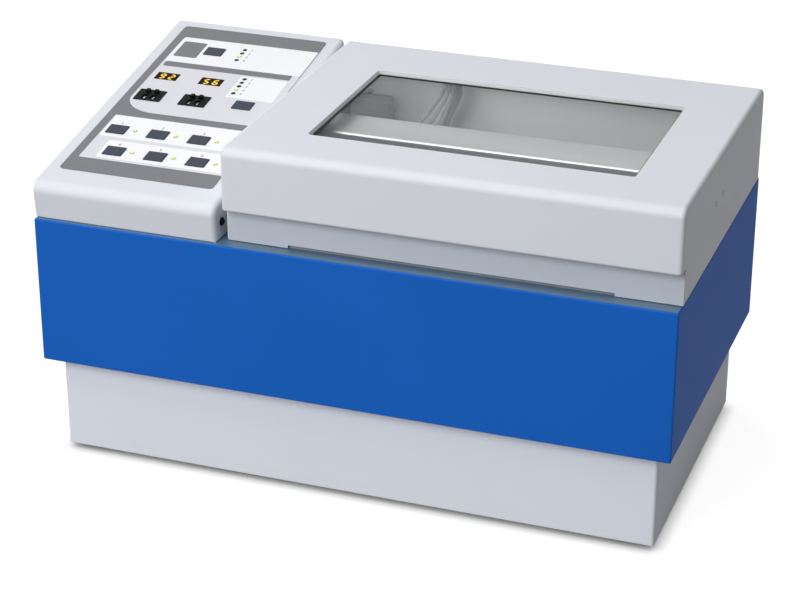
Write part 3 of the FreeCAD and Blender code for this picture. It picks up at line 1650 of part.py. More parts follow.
def power_inlet():
    """A mains socket with three contacts, with a well beside it for the rocker."""
    mid_x = left + inlet_from_housing_left
    mid_z = inlet_mid_z()
    back = base_rear + inlet_plate_thickness
    plate = box(mid_x - inlet_plate_width / 2, mid_x + inlet_plate_width / 2, base_rear, back,
                mid_z - inlet_plate_height / 2, mid_z + inlet_plate_height / 2)
    plate = plate.makeFillet(inlet_plate_corner, edges_along(plate, Y_AXIS))
    body = box(inlet_body_left(), inlet_body_left() + inlet_body_width,
               base_rear - inlet_body_depth, base_rear,
               mid_z - inlet_body_height / 2, mid_z + inlet_body_height / 2)
    socket = box(socket_x() - socket_width / 2, socket_x() + socket_width / 2,
                 back - socket_depth, back + overrun,
                 mid_z - socket_height / 2, mid_z + socket_height / 2)
    corners = [edge for edge in edges_along(socket, Y_AXIS) if edge.BoundBox.ZMin > mid_z]
    socket = socket.makeFillet(socket_corner, corners)
    well = box(rocker_x() - rocker_width / 2 - rocker_gap, rocker_x() + rocker_width / 2 + rocker_gap,
               back - rocker_well, back + overrun,
               mid_z - rocker_height / 2 - rocker_gap, mid_z + rocker_height / 2 + rocker_gap)
    reach = rocker_width / 2 + rocker_gap + rocker_axle_reach + running_gap
    axle_bore = along_x(rocker_pivot_y(), mid_z, rocker_x() - reach, rocker_x() + reach,
                        rocker_axle_radius + running_gap)
    contacts = []
    for index in (-1, 0, 1):
        z = mid_z + (contact_stagger / 2 if index == 0 else -contact_stagger / 2)
        x = socket_x() + index * contact_pitch
        contacts.append(box(x - contact_width / 2, x + contact_width / 2,
                            back - socket_depth - overrun, back - socket_depth + contact_length,
                            z - contact_height / 2, z + contact_height / 2))
    return plate.fuse(body).cut([socket, well, axle_bore]).fuse(contacts)


def mains_rocker():
    """A rocker with a hollow-ground face, tilted to its off side, on two stub axles."""
    mid_z = inlet_mid_z()
    y = rocker_pivot_y()
    half = rocker_height / 2 * math.cos(math.radians(2 * rocker_tilt))
    block = box(rocker_x() - rocker_width / 2, rocker_x() + rocker_width / 2,
                y - rocker_thickness / 2, y + rocker_thickness / 2, mid_z - half, mid_z + half)
    scoop_y = y + rocker_thickness / 2 + rocker_radius * math.cos(math.radians(2 * rocker_tilt))
    scoop = along_x(scoop_y, mid_z, rocker_x() - rocker_width, rocker_x() + rocker_width, rocker_radius)
    reach = rocker_width / 2 + rocker_gap + rocker_axle_reach
    axle = along_x(y, mid_z, rocker_x() - reach, rocker_x() + reach, rocker_axle_radius)
    rocker = block.cut(scoop).fuse(axle)
    return rocker.rotate(FreeCAD.Vector(rocker_x(), y, mid_z), X_AXIS, rocker_tilt)


def power_supply():
    x0 = base_left + supply_from_left
    y0 = base_front + supply_from_front
    case = box(x0, x0 + supply_length, y0, y0 + supply_depth, floor_z, floor_z + supply_height)
    hollow = box(x0 + supply_sheet, x0 + supply_length - supply_sheet,
                 y0 + supply_sheet + supply_terminal_depth, y0 + supply_depth - supply_sheet,
                 floor_z + supply_sheet, floor_z + supply_height - supply_sheet)
    step = box(x0 - overrun, x0 + supply_length + overrun, y0 - overrun, y0 + supply_terminal_depth,
               floor_z + supply_height / 2, floor_z + supply_height + overrun)
    slots = []
    first = x0 + supply_length / 2 - (supply_slot_count - 1) * supply_slot_pitch / 2
    for index in range(supply_slot_count):
        slots.append(centred_box(first + supply_slot_pitch * index,
                                 y0 + supply_terminal_depth + (supply_depth - supply_terminal_depth) / 2,
                                 supply_slot_width, supply_slot_length,
                                 floor_z + supply_height - supply_sheet - overrun,
                                 floor_z + supply_height + overrun))
    return case.cut([hollow, step] + slots)


def drain_x():
    return right - drain_from_right


def drain_z():
    return tank_floor + drain_rise


def drain_body_start():
    return base_rear + drain_nut_height


def lever_y():
    return drain_body_start() + drain_body_length / 2


def drain_valve():
    """A pipe from the tank's back wall, a nut on the base's wall, the valve body and its outlet."""
    start = FreeCAD.Vector(drain_x(), tank_rear + tank_sheet, drain_z())
    wall = base_rear - tank_rear - tank_sheet
    nut_end = wall + drain_nut_height
    body_end = nut_end + drain_body_length
    profile = [(drain_pipe_bore, 0),
               (drain_pipe_radius, 0),
               (drain_pipe_radius, wall),
               (drain_nut_radius, wall),
               (drain_nut_radius, nut_end),
               (drain_body_radius, nut_end),
               (drain_body_radius, body_end),
               (drain_outlet_radius, body_end),
               (drain_outlet_radius, body_end + drain_outlet_length),
               (drain_pipe_bore, body_end + drain_outlet_length)]
    body = turned(start, Y_AXIS, profile)
    neck = upright(drain_x(), lever_y(), drain_z() + drain_body_radius / 2,
                   drain_z() + drain_neck_rise, drain_neck_radius)
    stem_hole = upright(drain_x(), lever_y(), drain_z() + drain_neck_rise - drain_stem_rise,
                        drain_z() + drain_neck_rise + overrun, drain_stem_radius + running_gap)
    bore = along_y(drain_x(), drain_z(), tank_rear, base_rear + nut_end + drain_body_length + overrun,
                   drain_pipe_bore)
    return body.fuse(neck.cut(bore)).cut(stem_hole)


def drain_lever():
    """A flat lever on the valve's stem, across the pipe when shut."""
    hub_z = drain_z() + drain_neck_rise + seat_gap
    stem = upright(drain_x(), lever_y(), drain_z() + drain_neck_rise - drain_stem_rise + seat_gap,
                   hub_z, drain_stem_radius)
    hub = upright(drain_x(), lever_y(), hub_z, hub_z + lever_hub_height, lever_hub_radius)
    blade = box(drain_x() - lever_length, drain_x(), lever_y() - lever_width / 2,
                lever_y() + lever_width / 2, hub_z + lever_hub_height - lever_thickness,
                hub_z + lever_hub_height)
    tip = upright(drain_x() - lever_length, lever_y(), hub_z + lever_hub_height - lever_thickness,
                  hub_z + lever_hub_height, lever_width / 2)
    return stem.fuse([hub, blade, tip])


def all_pieces():
    pieces = {
        "base_pan": base_pan, "rubber_feet": rubber_feet, "case_screws": case_screws,
        "middle_band": middle_band, "deck_plate": deck_plate,
        "control_housing": control_housing, "lid_sensor": lid_sensor,
        "panel_overlay": panel_overlay, "control_board": control_board,
        "number_displays": number_displays, "panel_lamps": panel_lamps,
        "wheel_switch_frames": wheel_switch_frames, "power_supply": power_supply,
        "bath_tank": bath_tank, "bath_seal": bath_seal, "bath_heater": bath_heater,
        "temperature_probe": temperature_probe, "rack_top_plate": rack_top_plate,
        "rack_base_plate": rack_base_plate, "rack_handles": rack_handles,
        "endpoint_sensors": endpoint_sensors, "gas_inlet": gas_inlet, "valve_bank": valve_bank,
        "cabinet_gas_lines": cabinet_gas_lines, "gas_bulkhead": gas_bulkhead,
        "gas_lines": gas_lines, "hinge_base_leaves": hinge_base_leaves,
        "exhaust_duct": exhaust_duct, "exhaust_spigot": exhaust_spigot, "fan_case": fan_case,
        "power_inlet": power_inlet, "drain_valve": drain_valve, "fan_impeller": fan_impeller,
        "mains_rocker": mains_rocker, "drain_lever": drain_lever, "lid_shell": lid_shell,
        "lid_front_rail": lid_front_rail, "window_glass": window_glass,
        "window_gasket": window_gasket, "gas_manifold": gas_manifold,
        "gas_nozzles": gas_nozzles, "gas_feed_lines": gas_feed_lines,
    }
    shapes = {name: make() for name, make in pieces.items()}
    shapes["lid_screws"] = Part.makeCompound([manifold_screws()] + lid_hinge_screws())
    shapes["hinge_lid_leaves"] = hinge_lid_leaves()
    for name, (x, s) in button_places.items():
        shapes[name] = push_button(x, s)
    for setting, (x, s) in zip(("temperature", "time"), switch_places):
        for digit, offset in zip(("tens", "units"), column_offsets):
            shapes[f"{setting}_{digit}_wheel"] = digit_wheel(x + offset, s)
            shapes[f"{setting}_{digit}_tab"] = push_tab(x + offset, s)
    return shapes


for name, shape in all_pieces().items():
    shape.exportStep(f"parts/{name}.step")
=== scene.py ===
import math

import bpy
from mathutils import Matrix, Vector
from mathutils.geometry import tessellate_polygon


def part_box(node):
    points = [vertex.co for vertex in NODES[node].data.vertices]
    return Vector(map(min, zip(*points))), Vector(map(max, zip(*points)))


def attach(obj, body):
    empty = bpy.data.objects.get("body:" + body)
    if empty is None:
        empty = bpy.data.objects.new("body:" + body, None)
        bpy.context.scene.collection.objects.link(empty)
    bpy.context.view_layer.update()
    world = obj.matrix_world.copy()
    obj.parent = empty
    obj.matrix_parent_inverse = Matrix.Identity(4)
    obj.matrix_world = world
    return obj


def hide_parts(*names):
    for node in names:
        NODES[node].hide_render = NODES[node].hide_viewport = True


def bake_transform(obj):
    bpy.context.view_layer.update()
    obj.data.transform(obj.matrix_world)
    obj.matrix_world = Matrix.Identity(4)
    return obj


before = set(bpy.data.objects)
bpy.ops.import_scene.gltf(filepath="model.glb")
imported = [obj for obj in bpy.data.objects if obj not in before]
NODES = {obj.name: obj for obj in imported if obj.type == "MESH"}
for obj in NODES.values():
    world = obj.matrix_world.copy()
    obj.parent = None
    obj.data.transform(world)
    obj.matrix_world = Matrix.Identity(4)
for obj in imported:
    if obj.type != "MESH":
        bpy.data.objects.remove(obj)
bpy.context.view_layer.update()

MM = 0.001

# The control panel's own frame: X across, Y up the slope, Z out of it
PANEL_RISE = 34.2 * MM
PANEL_SLOPE = math.radians(9.73)
band_low, band_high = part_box("middle_band")
PANEL = (Matrix.Translation((band_low.x, band_low.y, band_high.z + PANEL_RISE))
         @ Matrix.Rotation(PANEL_SLOPE, 4, "X"))

# Heights over the slope
SHEET_TOP = 0.60
PRINT_STEP = 0.04
FACE_TOP = 0.40


# Materials

RAMP_LOW = 0.3
RAMP_HIGH = 0.7
TONE_DETAIL = 3.0

# Paint: slow tone, slow gloss and fine orange peel
PAINT_TONE_SCALE = 7.0
PAINT_GLOSS_SCALE = 30.0
PAINT_SMOOTHER = 0.04
PAINT_ROUGHER = 0.05
PEEL_SCALE = 900.0
PEEL_DEPTH = 0.0003

# Plastic: quicker tone and gloss, and a finer grain
PLASTIC_TONE_SCALE = 60.0
PLASTIC_GLOSS_SCALE = 160.0
PLASTIC_SMOOTHER = 0.05
PLASTIC_ROUGHER = 0.06
GRAIN_SCALE = 2600.0
GRAIN_DEPTH = 0.0001

# Metal: lines that are long along X and fine across it
BRUSH_DETAIL = 4.0
BRUSH_SMOOTHER = 0.08
BRUSH_ROUGHER = 0.12
BRUSH_SHADE = 0.9
BRUSH_RELIEF = 0.06
BRUSH_DEPTH = 0.0001

# Lit faces
GLOW_ROUGHNESS = 0.3
GLOW_SCALE = 900.0
GLOW_LOW = 0.25
GLOW_HIGH = 0.6
GLOW_SHADE = 0.82

# The window's pane
GLASS_TINT = (0.50, 0.53, 0.54, 1)
GLASS_ROUGHNESS = 0.04
GLASS_INDEX = 1.45
GLASS_ALPHA = 0.10
GLASS_WAVE_SCALE = 14.0
GLASS_WAVE = 0.02
GLASS_WAVE_DEPTH = 0.0005

# How much of the light the thin pale tubes stop
TUBE_ALPHA = 0.48


def new_material(name):
    material = bpy.data.materials.new(name)
    material.use_nodes = True
    shader = material.node_tree.nodes["Principled BSDF"]
    return material, material.node_tree, shader


def noise_bump(tree, shader, scale, strength, distance, detail=2.0):
    """Fine relief from noise in the object's own coordinates."""
    place = tree.nodes.new("ShaderNodeTexCoord")
    noise = tree.nodes.new("ShaderNodeTexNoise")
    noise.inputs["Scale"].default_value = scale
    noise.inputs["Detail"].default_value = detail
    bump = tree.nodes.new("ShaderNodeBump")
    bump.inputs["Strength"].default_value = strength
    bump.inputs["Distance"].default_value = distance
    tree.links.new(place.outputs["Object"], noise.inputs["Vector"])
    tree.links.new(noise.outputs["Fac"], bump.inputs["Height"])
    tree.links.new(bump.outputs["Normal"], shader.inputs["Normal"])
    return noise


def vary(tree, shader, colour, amount, scale):
    """A slow change of tone over the surface."""
    place = tree.nodes.new("ShaderNodeTexCoord")
    noise = tree.nodes.new("ShaderNodeTexNoise")
    noise.inputs["Scale"].default_value = scale
    noise.inputs["Detail"].default_value = TONE_DETAIL
    ramp = tree.nodes.new("ShaderNodeValToRGB")
    dark = [channel * (1 - amount) for channel in colour]
    light = [min(1.0, channel * (1 + amount)) for channel in colour]
    ramp.color_ramp.elements[0].position = RAMP_LOW
    ramp.color_ramp.elements[0].color = (*dark, 1)
    ramp.color_ramp.elements[1].position = RAMP_HIGH
    ramp.color_ramp.elements[1].color = (*light, 1)
    tree.links.new(place.outputs["Object"], noise.inputs["Vector"])
    tree.links.new(noise.outputs["Fac"], ramp.inputs["Fac"])
    tree.links.new(ramp.outputs["Color"], shader.inputs["Base Color"])


def vary_roughness(tree, shader, low, high, scale):
    """A slow change of gloss over the surface."""
    place = tree.nodes.new("ShaderNodeTexCoord")
    noise = tree.nodes.new("ShaderNodeTexNoise")
    noise.inputs["Scale"].default_value = scale
    span = tree.nodes.new("ShaderNodeMapRange")
    span.inputs["To Min"].default_value = low
    span.inputs["To Max"].default_value = high
    tree.links.new(place.outputs["Object"], noise.inputs["Vector"])
    tree.links.new(noise.outputs["Fac"], span.inputs["Value"])
    tree.links.new(span.outputs["Result"], shader.inputs["Roughness"])


def paint(name, colour, roughness=0.42, peel=0.05, tone=0.012, shine=0.5):
    """Satin paint with fine orange peel."""
    material, tree, shader = new_material(name)
    vary(tree, shader, colour, tone, PAINT_TONE_SCALE)
    vary_roughness(tree, shader, roughness - PAINT_SMOOTHER, roughness + PAINT_ROUGHER, PAINT_GLOSS_SCALE)
    shader.inputs["Specular IOR Level"].default_value = shine
    noise_bump(tree, shader, PEEL_SCALE, peel, PEEL_DEPTH)
    return material


def plastic(name, colour, roughness=0.45, grain=0.04, tone=0.03, shine=0.5):
    """Moulded plastic or printed sheet with a fine grain."""
    material, tree, shader = new_material(name)
    shader.inputs["Specular IOR Level"].default_value = shine
    vary(tree, shader, colour, tone, PLASTIC_TONE_SCALE)
    vary_roughness(tree, shader, roughness - PLASTIC_SMOOTHER, roughness + PLASTIC_ROUGHER,
                   PLASTIC_GLOSS_SCALE)
    noise_bump(tree, shader, GRAIN_SCALE, grain, GRAIN_DEPTH)
    return material


def brushed(name, colour, roughness=0.3, stretch=(4.0, 900.0, 900.0)):
    """Metal with fine lines along X."""
    material, tree, shader = new_material(name)
    shader.inputs["Metallic"].default_value = 1.0
    place = tree.nodes.new("ShaderNodeTexCoord")
    mapping = tree.nodes.new("ShaderNodeMapping")
    mapping.inputs["Scale"].default_value = stretch
    noise = tree.nodes.new("ShaderNodeTexNoise")
    noise.inputs["Scale"].default_value = 1.0
    noise.inputs["Detail"].default_value = BRUSH_DETAIL
    span = tree.nodes.new("ShaderNodeMapRange")
    span.inputs["To Min"].default_value = roughness - BRUSH_SMOOTHER
    span.inputs["To Max"].default_value = roughness + BRUSH_ROUGHER
    ramp = tree.nodes.new("ShaderNodeValToRGB")
    ramp.color_ramp.elements[0].position = RAMP_LOW
    ramp.color_ramp.elements[0].color = (*[channel * BRUSH_SHADE for channel in colour], 1)
    ramp.color_ramp.elements[1].position = RAMP_HIGH
    ramp.color_ramp.elements[1].color = (*colour, 1)
    bump = tree.nodes.new("ShaderNodeBump")
    bump.inputs["Strength"].default_value = BRUSH_RELIEF
    bump.inputs["Distance"].default_value = BRUSH_DEPTH
    tree.links.new(place.outputs["Object"], mapping.inputs["Vector"])
    tree.links.new(mapping.outputs["Vector"], noise.inputs["Vector"])
    tree.links.new(noise.outputs["Fac"], span.inputs["Value"])
    tree.links.new(span.outputs["Result"], shader.inputs["Roughness"])
    tree.links.new(noise.outputs["Fac"], ramp.inputs["Fac"])
    tree.links.new(ramp.outputs["Color"], shader.inputs["Base Color"])
    tree.links.new(noise.outputs["Fac"], bump.inputs["Height"])
    tree.links.new(bump.outputs["Normal"], shader.inputs["Normal"])
    return material


def glowing(name, colour, strength, base=(0.02, 0.02, 0.02)):
    """A lit face with a fine unevenness in its brightness."""
    material, tree, shader = new_material(name)
    shader.inputs["Base Color"].default_value = (*base, 1)
    shader.inputs["Roughness"].default_value = GLOW_ROUGHNESS
    shader.inputs["Emission Strength"].default_value = strength
    place = tree.nodes.new("ShaderNodeTexCoord")
    noise = tree.nodes.new("ShaderNodeTexNoise")
    noise.inputs["Scale"].default_value = GLOW_SCALE
    ramp = tree.nodes.new("ShaderNodeValToRGB")
    ramp.color_ramp.elements[0].position = GLOW_LOW
    ramp.color_ramp.elements[0].color = (*[channel * GLOW_SHADE for channel in colour], 1)
    ramp.color_ramp.elements[1].position = GLOW_HIGH
    ramp.color_ramp.elements[1].color = (*colour, 1)
    tree.links.new(place.outputs["Object"], noise.inputs["Vector"])
    tree.links.new(noise.outputs["Fac"], ramp.inputs["Fac"])
    tree.links.new(ramp.outputs["Color"], shader.inputs["Emission Color"])
    return material


def clear_glass(name):
    """A clear pane: mostly see-through, with a thin grey-green tint and a sheen."""
    material, tree, shader = new_material(name)
    shader.inputs["Base Color"].default_value = GLASS_TINT
    shader.inputs["Roughness"].default_value = GLASS_ROUGHNESS
    shader.inputs["IOR"].default_value = GLASS_INDEX
    shader.inputs["Alpha"].default_value = GLASS_ALPHA
    noise_bump(tree, shader, GLASS_WAVE_SCALE, GLASS_WAVE, GLASS_WAVE_DEPTH)
    return material


COVER = paint("cover_paint", (0.700, 0.720, 0.770), roughness=0.50, peel=0.05, shine=0.35)
# The front rail under the fascia's overhang gets a darker paint: painted shade for the overhang's shadow
# on it
RAIL_SHADE_PAINT = paint("rail_painted_shade", (0.530, 0.570, 0.640), roughness=0.50, peel=0.05, shine=0.3)
BASE_PAINT = paint("base_paint", (0.800, 0.835, 0.910), roughness=0.52, peel=0.06, shine=0.3)
BLUE = paint("blue_paint", (0.006, 0.118, 0.520), roughness=0.62, peel=0.05, tone=0.03,
             shine=0.15)
DECK_PAINT = paint("deck_paint", (0.085, 0.160, 0.240), roughness=0.35, peel=0.05, tone=0.03,
                   shine=1.0)
SHEET_GREY = plastic("panel_grey", (0.180, 0.185, 0.200), roughness=0.5, tone=0.015, shine=0.3)
PRINT_WHITE = plastic("print_white", (0.900, 0.905, 0.925), roughness=0.5, tone=0.006, shine=0.3)
PRINT_PALE = plastic("print_pale", (0.700, 0.710, 0.745), roughness=0.5, tone=0.008, shine=0.3)
PRINT_TEXT = plastic("print_figures", (0.16, 0.16, 0.20), roughness=0.5)
SLATE = plastic("button_slate", (0.036, 0.045, 0.068), roughness=0.55, shine=0.25)
BLACK = plastic("black_moulding", (0.003, 0.003, 0.004), roughness=0.45, grain=0.08, tone=0.2,
                shine=0.08)
BLACK_MATT = plastic("black_matt", (0.018, 0.018, 0.020), roughness=0.6, grain=0.1, tone=0.2)
DRUM = plastic("drum_black", (0.004, 0.004, 0.005), roughness=0.35, shine=0.2)
FIGURE_WHITE = plastic("figure_white", (0.85, 0.85, 0.83), roughness=0.5)
DISPLAY = plastic("display_face", (0.018, 0.004, 0.001), roughness=0.45, grain=0.0, tone=0.3,
                  shine=0.04)
DIGIT = glowing("display_digit", (1.0, 0.66, 0.01), 1.0)
LAMP_LIT = glowing("lamp_lit", (0.50, 0.62, 0.01), 0.95, base=(0.05, 0.06, 0.01))
LAMP_CORE = glowing("lamp_core", (0.90, 1.0, 0.50), 0.95, base=(0.05, 0.05, 0.03))
LAMP_DARK = plastic("lamp_dark", (0.012, 0.014, 0.040), roughness=0.2, grain=0.0, shine=0.3)
# The exhaust hood gets a darker grey than the walls round it: painted shade for the hood in the cover's
# shadow
DUCT_SHADE_PAINT = paint("duct_painted_shade", (0.41, 0.41, 0.42), roughness=0.35, peel=0.04)
STEEL = brushed("brushed_steel", (0.62, 0.63, 0.64), roughness=0.28)
EVEN = (300.0, 300.0, 300.0)
SCREW = brushed("screw_steel", (0.74, 0.74, 0.76), roughness=0.2, stretch=EVEN)
# Screws on the lid's shaded side get a dark steel: painted shade; the other lid screws keep the bright
# steel
SHADED_SCREW = brushed("screw_steel_painted_shade", (0.10, 0.10, 0.11), roughness=0.5, stretch=EVEN)
# The window cut-out's sloped and upright edge faces get a dark grey: painted shade for the shadowed edge
BEVEL_SHADE_PAINT = paint("bevel_painted_shade", (0.44, 0.46, 0.46), roughness=0.55, peel=0.05, shine=0.3)
# The lid's inner faces get a paler paint than its outside: painted light for the dim inside of the cover
INNER_LIGHT_PAINT = paint("inner_painted_light", (0.84, 0.84, 0.845), roughness=0.60, peel=0.05, shine=0.2)
ALLOY = brushed("alloy_channel", (0.52, 0.525, 0.535), roughness=0.40)
RUBBER = plastic("black_rubber", (0.012, 0.012, 0.013), roughness=0.7, grain=0.15)
SPONGE = plastic("grey_sponge", (0.25, 0.26, 0.28), roughness=0.85, grain=0.5, tone=0.1)
SILICONE = plastic("rust_silicone", (0.28, 0.06, 0.02), roughness=0.6, grain=0.2)
TUBE = plastic("pale_tube", (0.42, 0.43, 0.44), roughness=0.45, grain=0.0, shine=0.3)
TUBE.node_tree.nodes["Principled BSDF"].inputs["Alpha"].default_value = TUBE_ALPHA
WHITE_PART = plastic("white_part", (0.78, 0.78, 0.75), roughness=0.4)
BRASS = brushed("plated_brass", (0.72, 0.56, 0.30), roughness=0.25, stretch=(250.0, 250.0, 250.0))
RED = plastic("red_lever", (0.50, 0.025, 0.02), roughness=0.4)
BOARD = plastic("board_green", (0.02, 0.16, 0.06), roughness=0.4)
GLASS = clear_glass("window_glass")

LOOKS = {
    COVER: ("control_housing", "lid_shell"),
    RAIL_SHADE_PAINT: ("lid_front_rail",),
    BASE_PAINT: ("base_pan",),
    BLUE: ("middle_band",),
    DECK_PAINT: ("deck_plate",),
    SHEET_GREY: ("panel_overlay",),
    SLATE: ("mode_button", "select_button", "cell_1_button", "cell_2_button", "cell_3_button",
            "cell_4_button", "cell_5_button", "cell_6_button"),
    BLACK: ("wheel_switch_frames", "fan_case", "power_inlet", "mains_rocker", "lid_sensor",
            "temperature_tens_tab", "temperature_units_tab", "time_tens_tab", "time_units_tab"),
    DUCT_SHADE_PAINT: ("exhaust_duct",),
    BLACK_MATT: ("exhaust_spigot", "fan_impeller", "valve_bank", "gas_bulkhead"),
    DRUM: ("temperature_tens_wheel", "temperature_units_wheel", "time_tens_wheel", "time_units_wheel"),
    DISPLAY: ("number_displays",),
    STEEL: ("bath_tank", "rack_top_plate", "rack_base_plate", "rack_handles", "hinge_base_leaves",
            "hinge_lid_leaves", "temperature_probe", "gas_nozzles", "power_supply"),
    SCREW: ("case_screws", "lid_screws"),
    ALLOY: ("gas_manifold",),
    RUBBER: ("rubber_feet", "window_gasket"),
    SPONGE: ("bath_seal",),
    SILICONE: ("bath_heater",),
    TUBE: ("gas_feed_lines", "cabinet_gas_lines", "gas_lines"),
    WHITE_PART: ("endpoint_sensors",),
    BRASS: ("gas_inlet", "drain_valve"),
    RED: ("drain_lever",),
    BOARD: ("control_board",),
    GLASS: ("window_glass",),
    LAMP_DARK: ("panel_lamps",),
}
for material, names in LOOKS.items():
    for name in names:
        node = NODES[name]
        node.data.materials.clear()
        node.data.materials.append(material)


def repaint(name, material, chosen):
    """Gives the faces that are chosen by their place and direction a material of their own."""
    node = NODES[name]
    node.data.materials.append(material)
    index = len(node.data.materials) - 1
    turn = node.matrix_world.to_3x3()
    for face in node.data.polygons:
        if chosen(node.matrix_world @ face.center, (turn @ face.normal).normalized()):
            face.material_index = index


WINDOW = (-53.3 * MM, 241.5 * MM, -112.5 * MM, 66.5 * MM)
BEVEL = 2.3 * MM
WINDOW_EDGE = 3.4 * MM
LID_SKIN = 1.5 * MM
FLAT = 0.97
shell_low, shell_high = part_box("lid_shell")
shell_middle = (shell_low + shell_high) / 2


def inside_lid(place, way):
    return (shell_low.x + LID_SKIN < place.x < shell_high.x - LID_SKIN
            and shell_low.y + LID_SKIN < place.y < shell_high.y - LID_SKIN
            and place.z < shell_high.z - LID_SKIN and way.dot(shell_middle - place) > 0)


def on_bevel(place, way):
    return (WINDOW[0] - BEVEL < place.x < WINDOW[1] + BEVEL
            and WINDOW[2] - BEVEL < place.y < WINDOW[3] + BEVEL
            and place.z > shell_high.z - WINDOW_EDGE and abs(way.z) < FLAT)


def on_lid_side(place, way):
    return place.x > shell_high.x - BEVEL


def on_ledge(place, way):
    return way.z > FLAT and place.z > band_high.z - LID_SKIN


# Painted light on the lid's inner faces
repaint("lid_shell", INNER_LIGHT_PAINT, inside_lid)
# Painted shade on the window cut-out's edge faces
repaint("lid_shell", BEVEL_SHADE_PAINT, on_bevel)
# Painted shade on the screws of the lid's shaded side
repaint("lid_screws", SHADED_SCREW, on_lid_side)
repaint("middle_band", DECK_PAINT, on_ledge)


# Helpers for pieces

WHOLE_TURN = 2 * math.pi


def piece_from(name, vertices, faces, material, body, smooth=False):
    mesh = bpy.data.meshes.new(name)
    mesh.from_pydata(vertices, [], faces)
    mesh.validate()
    mesh.update()
    if smooth:
        for face in mesh.polygons:
            face.use_smooth = True
    thing = bpy.data.objects.new(name, mesh)
    bpy.context.scene.collection.objects.link(thing)
    mesh.materials.append(material)
    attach(thing, body)
    return thing


def plate_mesh(loops, top, thickness):
    """Vertices and faces of a flat plate with holes, on the panel; loops are in millimetres."""
    flat = [[Vector((x, s, 0)) for x, s in loop] for loop in loops]
    triangles = tessellate_polygon(flat)
    points = [point for loop in flat for point in loop]
    count = len(points)
    vertices = [PANEL @ Vector((p.x * MM, p.y * MM, top * MM)) for p in points]
    vertices += [PANEL @ Vector((p.x * MM, p.y * MM, (top - thickness) * MM)) for p in points]
    faces = []
    for a, b, c in triangles:
        up = (points[b] - points[a]).cross(points[c] - points[a]).z > 0
        faces.append((a, b, c) if up else (a, c, b))
        faces.append((a + count, c + count, b + count) if up
                     else (a + count, b + count, c + count))
    start = 0
    for loop in flat:
        size = len(loop)
        for k in range(size):
            a, b = start + k, start + (k + 1) % size
            faces.append((a, b, b + count, a + count))
        start += size
    return vertices, faces


def rounded(x0, s0, x1, s1, radii=(1.0, 1.0, 1.0, 1.0), steps=8):
    """A rounded rectangle; the radii go round from lower left, lower right, upper right, upper left."""
    corners = [(x0, s0, 180), (x1, s0, 270), (x1, s1, 0), (x0, s1, 90)]
    inward = [(1, 1), (-1, 1), (-1, -1), (1, -1)]
    loop = []
    for (x, s, start), (way_x, way_s), radius in zip(corners, inward, radii):
        if radius <= 0:
            loop.append((x, s))
            continue
        cx, cs = x + way_x * radius, s + way_s * radius
        for k in range(steps + 1):
            angle = math.radians(start + 90 * k / steps)
            loop.append((cx + radius * math.cos(angle), cs + radius * math.sin(angle)))
    return loop


def centred(x, s, width, length, radius=0.0):
    """A rounded rectangle round a middle point."""
    return rounded(x - width / 2, s - length / 2, x + width / 2, s + length / 2, (radius,) * 4, 4)


def circle(x, s, radius, steps=20):
    return [(x + radius * math.cos(WHOLE_TURN * k / steps),
             s + radius * math.sin(WHOLE_TURN * k / steps)) for k in range(steps)]


def inside(loop, hole):
    """Whether a hole lies within the box round a loop."""
    xs = [p[0] for p in loop]
    ss = [p[1] for p in loop]
    return all(min(xs) < x < max(xs) and min(ss) < s < max(ss) for x, s in hole)


# Places on the panel

SHEET = (10.0, 165.0, 31.0, 317.98)
SHEET_WIDTH = SHEET[1] - SHEET[0]
SHEET_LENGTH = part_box("panel_overlay")[1].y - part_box("panel_overlay")[0].y
SHEET_LENGTH = SHEET_LENGTH / math.cos(PANEL_SLOPE) / MM


def on_sheet(x_share, s_share):
    """The place at the given shares of the sheet's width and length."""
    return SHEET[0] + x_share * SHEET_WIDTH, SHEET[2] + s_share * SHEET_LENGTH


BUTTON = (19.3, 15.1)
BUTTON_CLEARANCE = 0.3
MODE_BUTTON = on_sheet(0.343, 0.8415)
SELECT_BUTTON = on_sheet(0.794, 0.514)
CELL_BUTTONS = [on_sheet(0.162 + 0.2687 * column + 0.094 * row, s_share)
                for row, s_share in enumerate((0.268, 0.1376)) for column in range(3)]
DISPLAYS = [on_sheet(x_share, 0.641) for x_share in (0.181, 0.480)]
DISPLAY_SIZE = (22.8, 13.4)
SWITCHES = [on_sheet(x_share, 0.5045) for x_share in (0.179, 0.478)]
SWITCH_SIZE = (26.6, 20.2)
LAMP_PITCH = 7.1
MODE_LAMP_COUNT = 4
STATUS_LAMP_COUNT = 5
FIRST_MODE_LAMP = on_sheet(0.525, 0.879)
FIRST_STATUS_LAMP = on_sheet(0.674, 0.684)
MODE_LAMPS = [(FIRST_MODE_LAMP[0], FIRST_MODE_LAMP[1] - LAMP_PITCH * k)
              for k in range(MODE_LAMP_COUNT)]
STATUS_LAMPS = [(FIRST_STATUS_LAMP[0], FIRST_STATUS_LAMP[1] - LAMP_PITCH * k)
                for k in range(STATUS_LAMP_COUNT)]
CELL_LAMP_ASIDE = 8.2
CELL_LAMP_UP = 1.0
CELL_LAMPS = [(x + BUTTON[0] / 2 + CELL_LAMP_ASIDE, s + CELL_LAMP_UP) for x, s in CELL_BUTTONS]
LAMP_RADIUS = 2.1
LAMP_CLEARANCE = 0.25
KEY_HOLE = (BUTTON[0] + 2 * BUTTON_CLEARANCE, BUTTON[1] + 2 * BUTTON_CLEARANCE)
KEY_HOLE_CORNER = 1.4
DISPLAY_MARGIN = 0.5
DISPLAY_HOLE = (DISPLAY_SIZE[0] + DISPLAY_MARGIN, DISPLAY_SIZE[1] + DISPLAY_MARGIN)

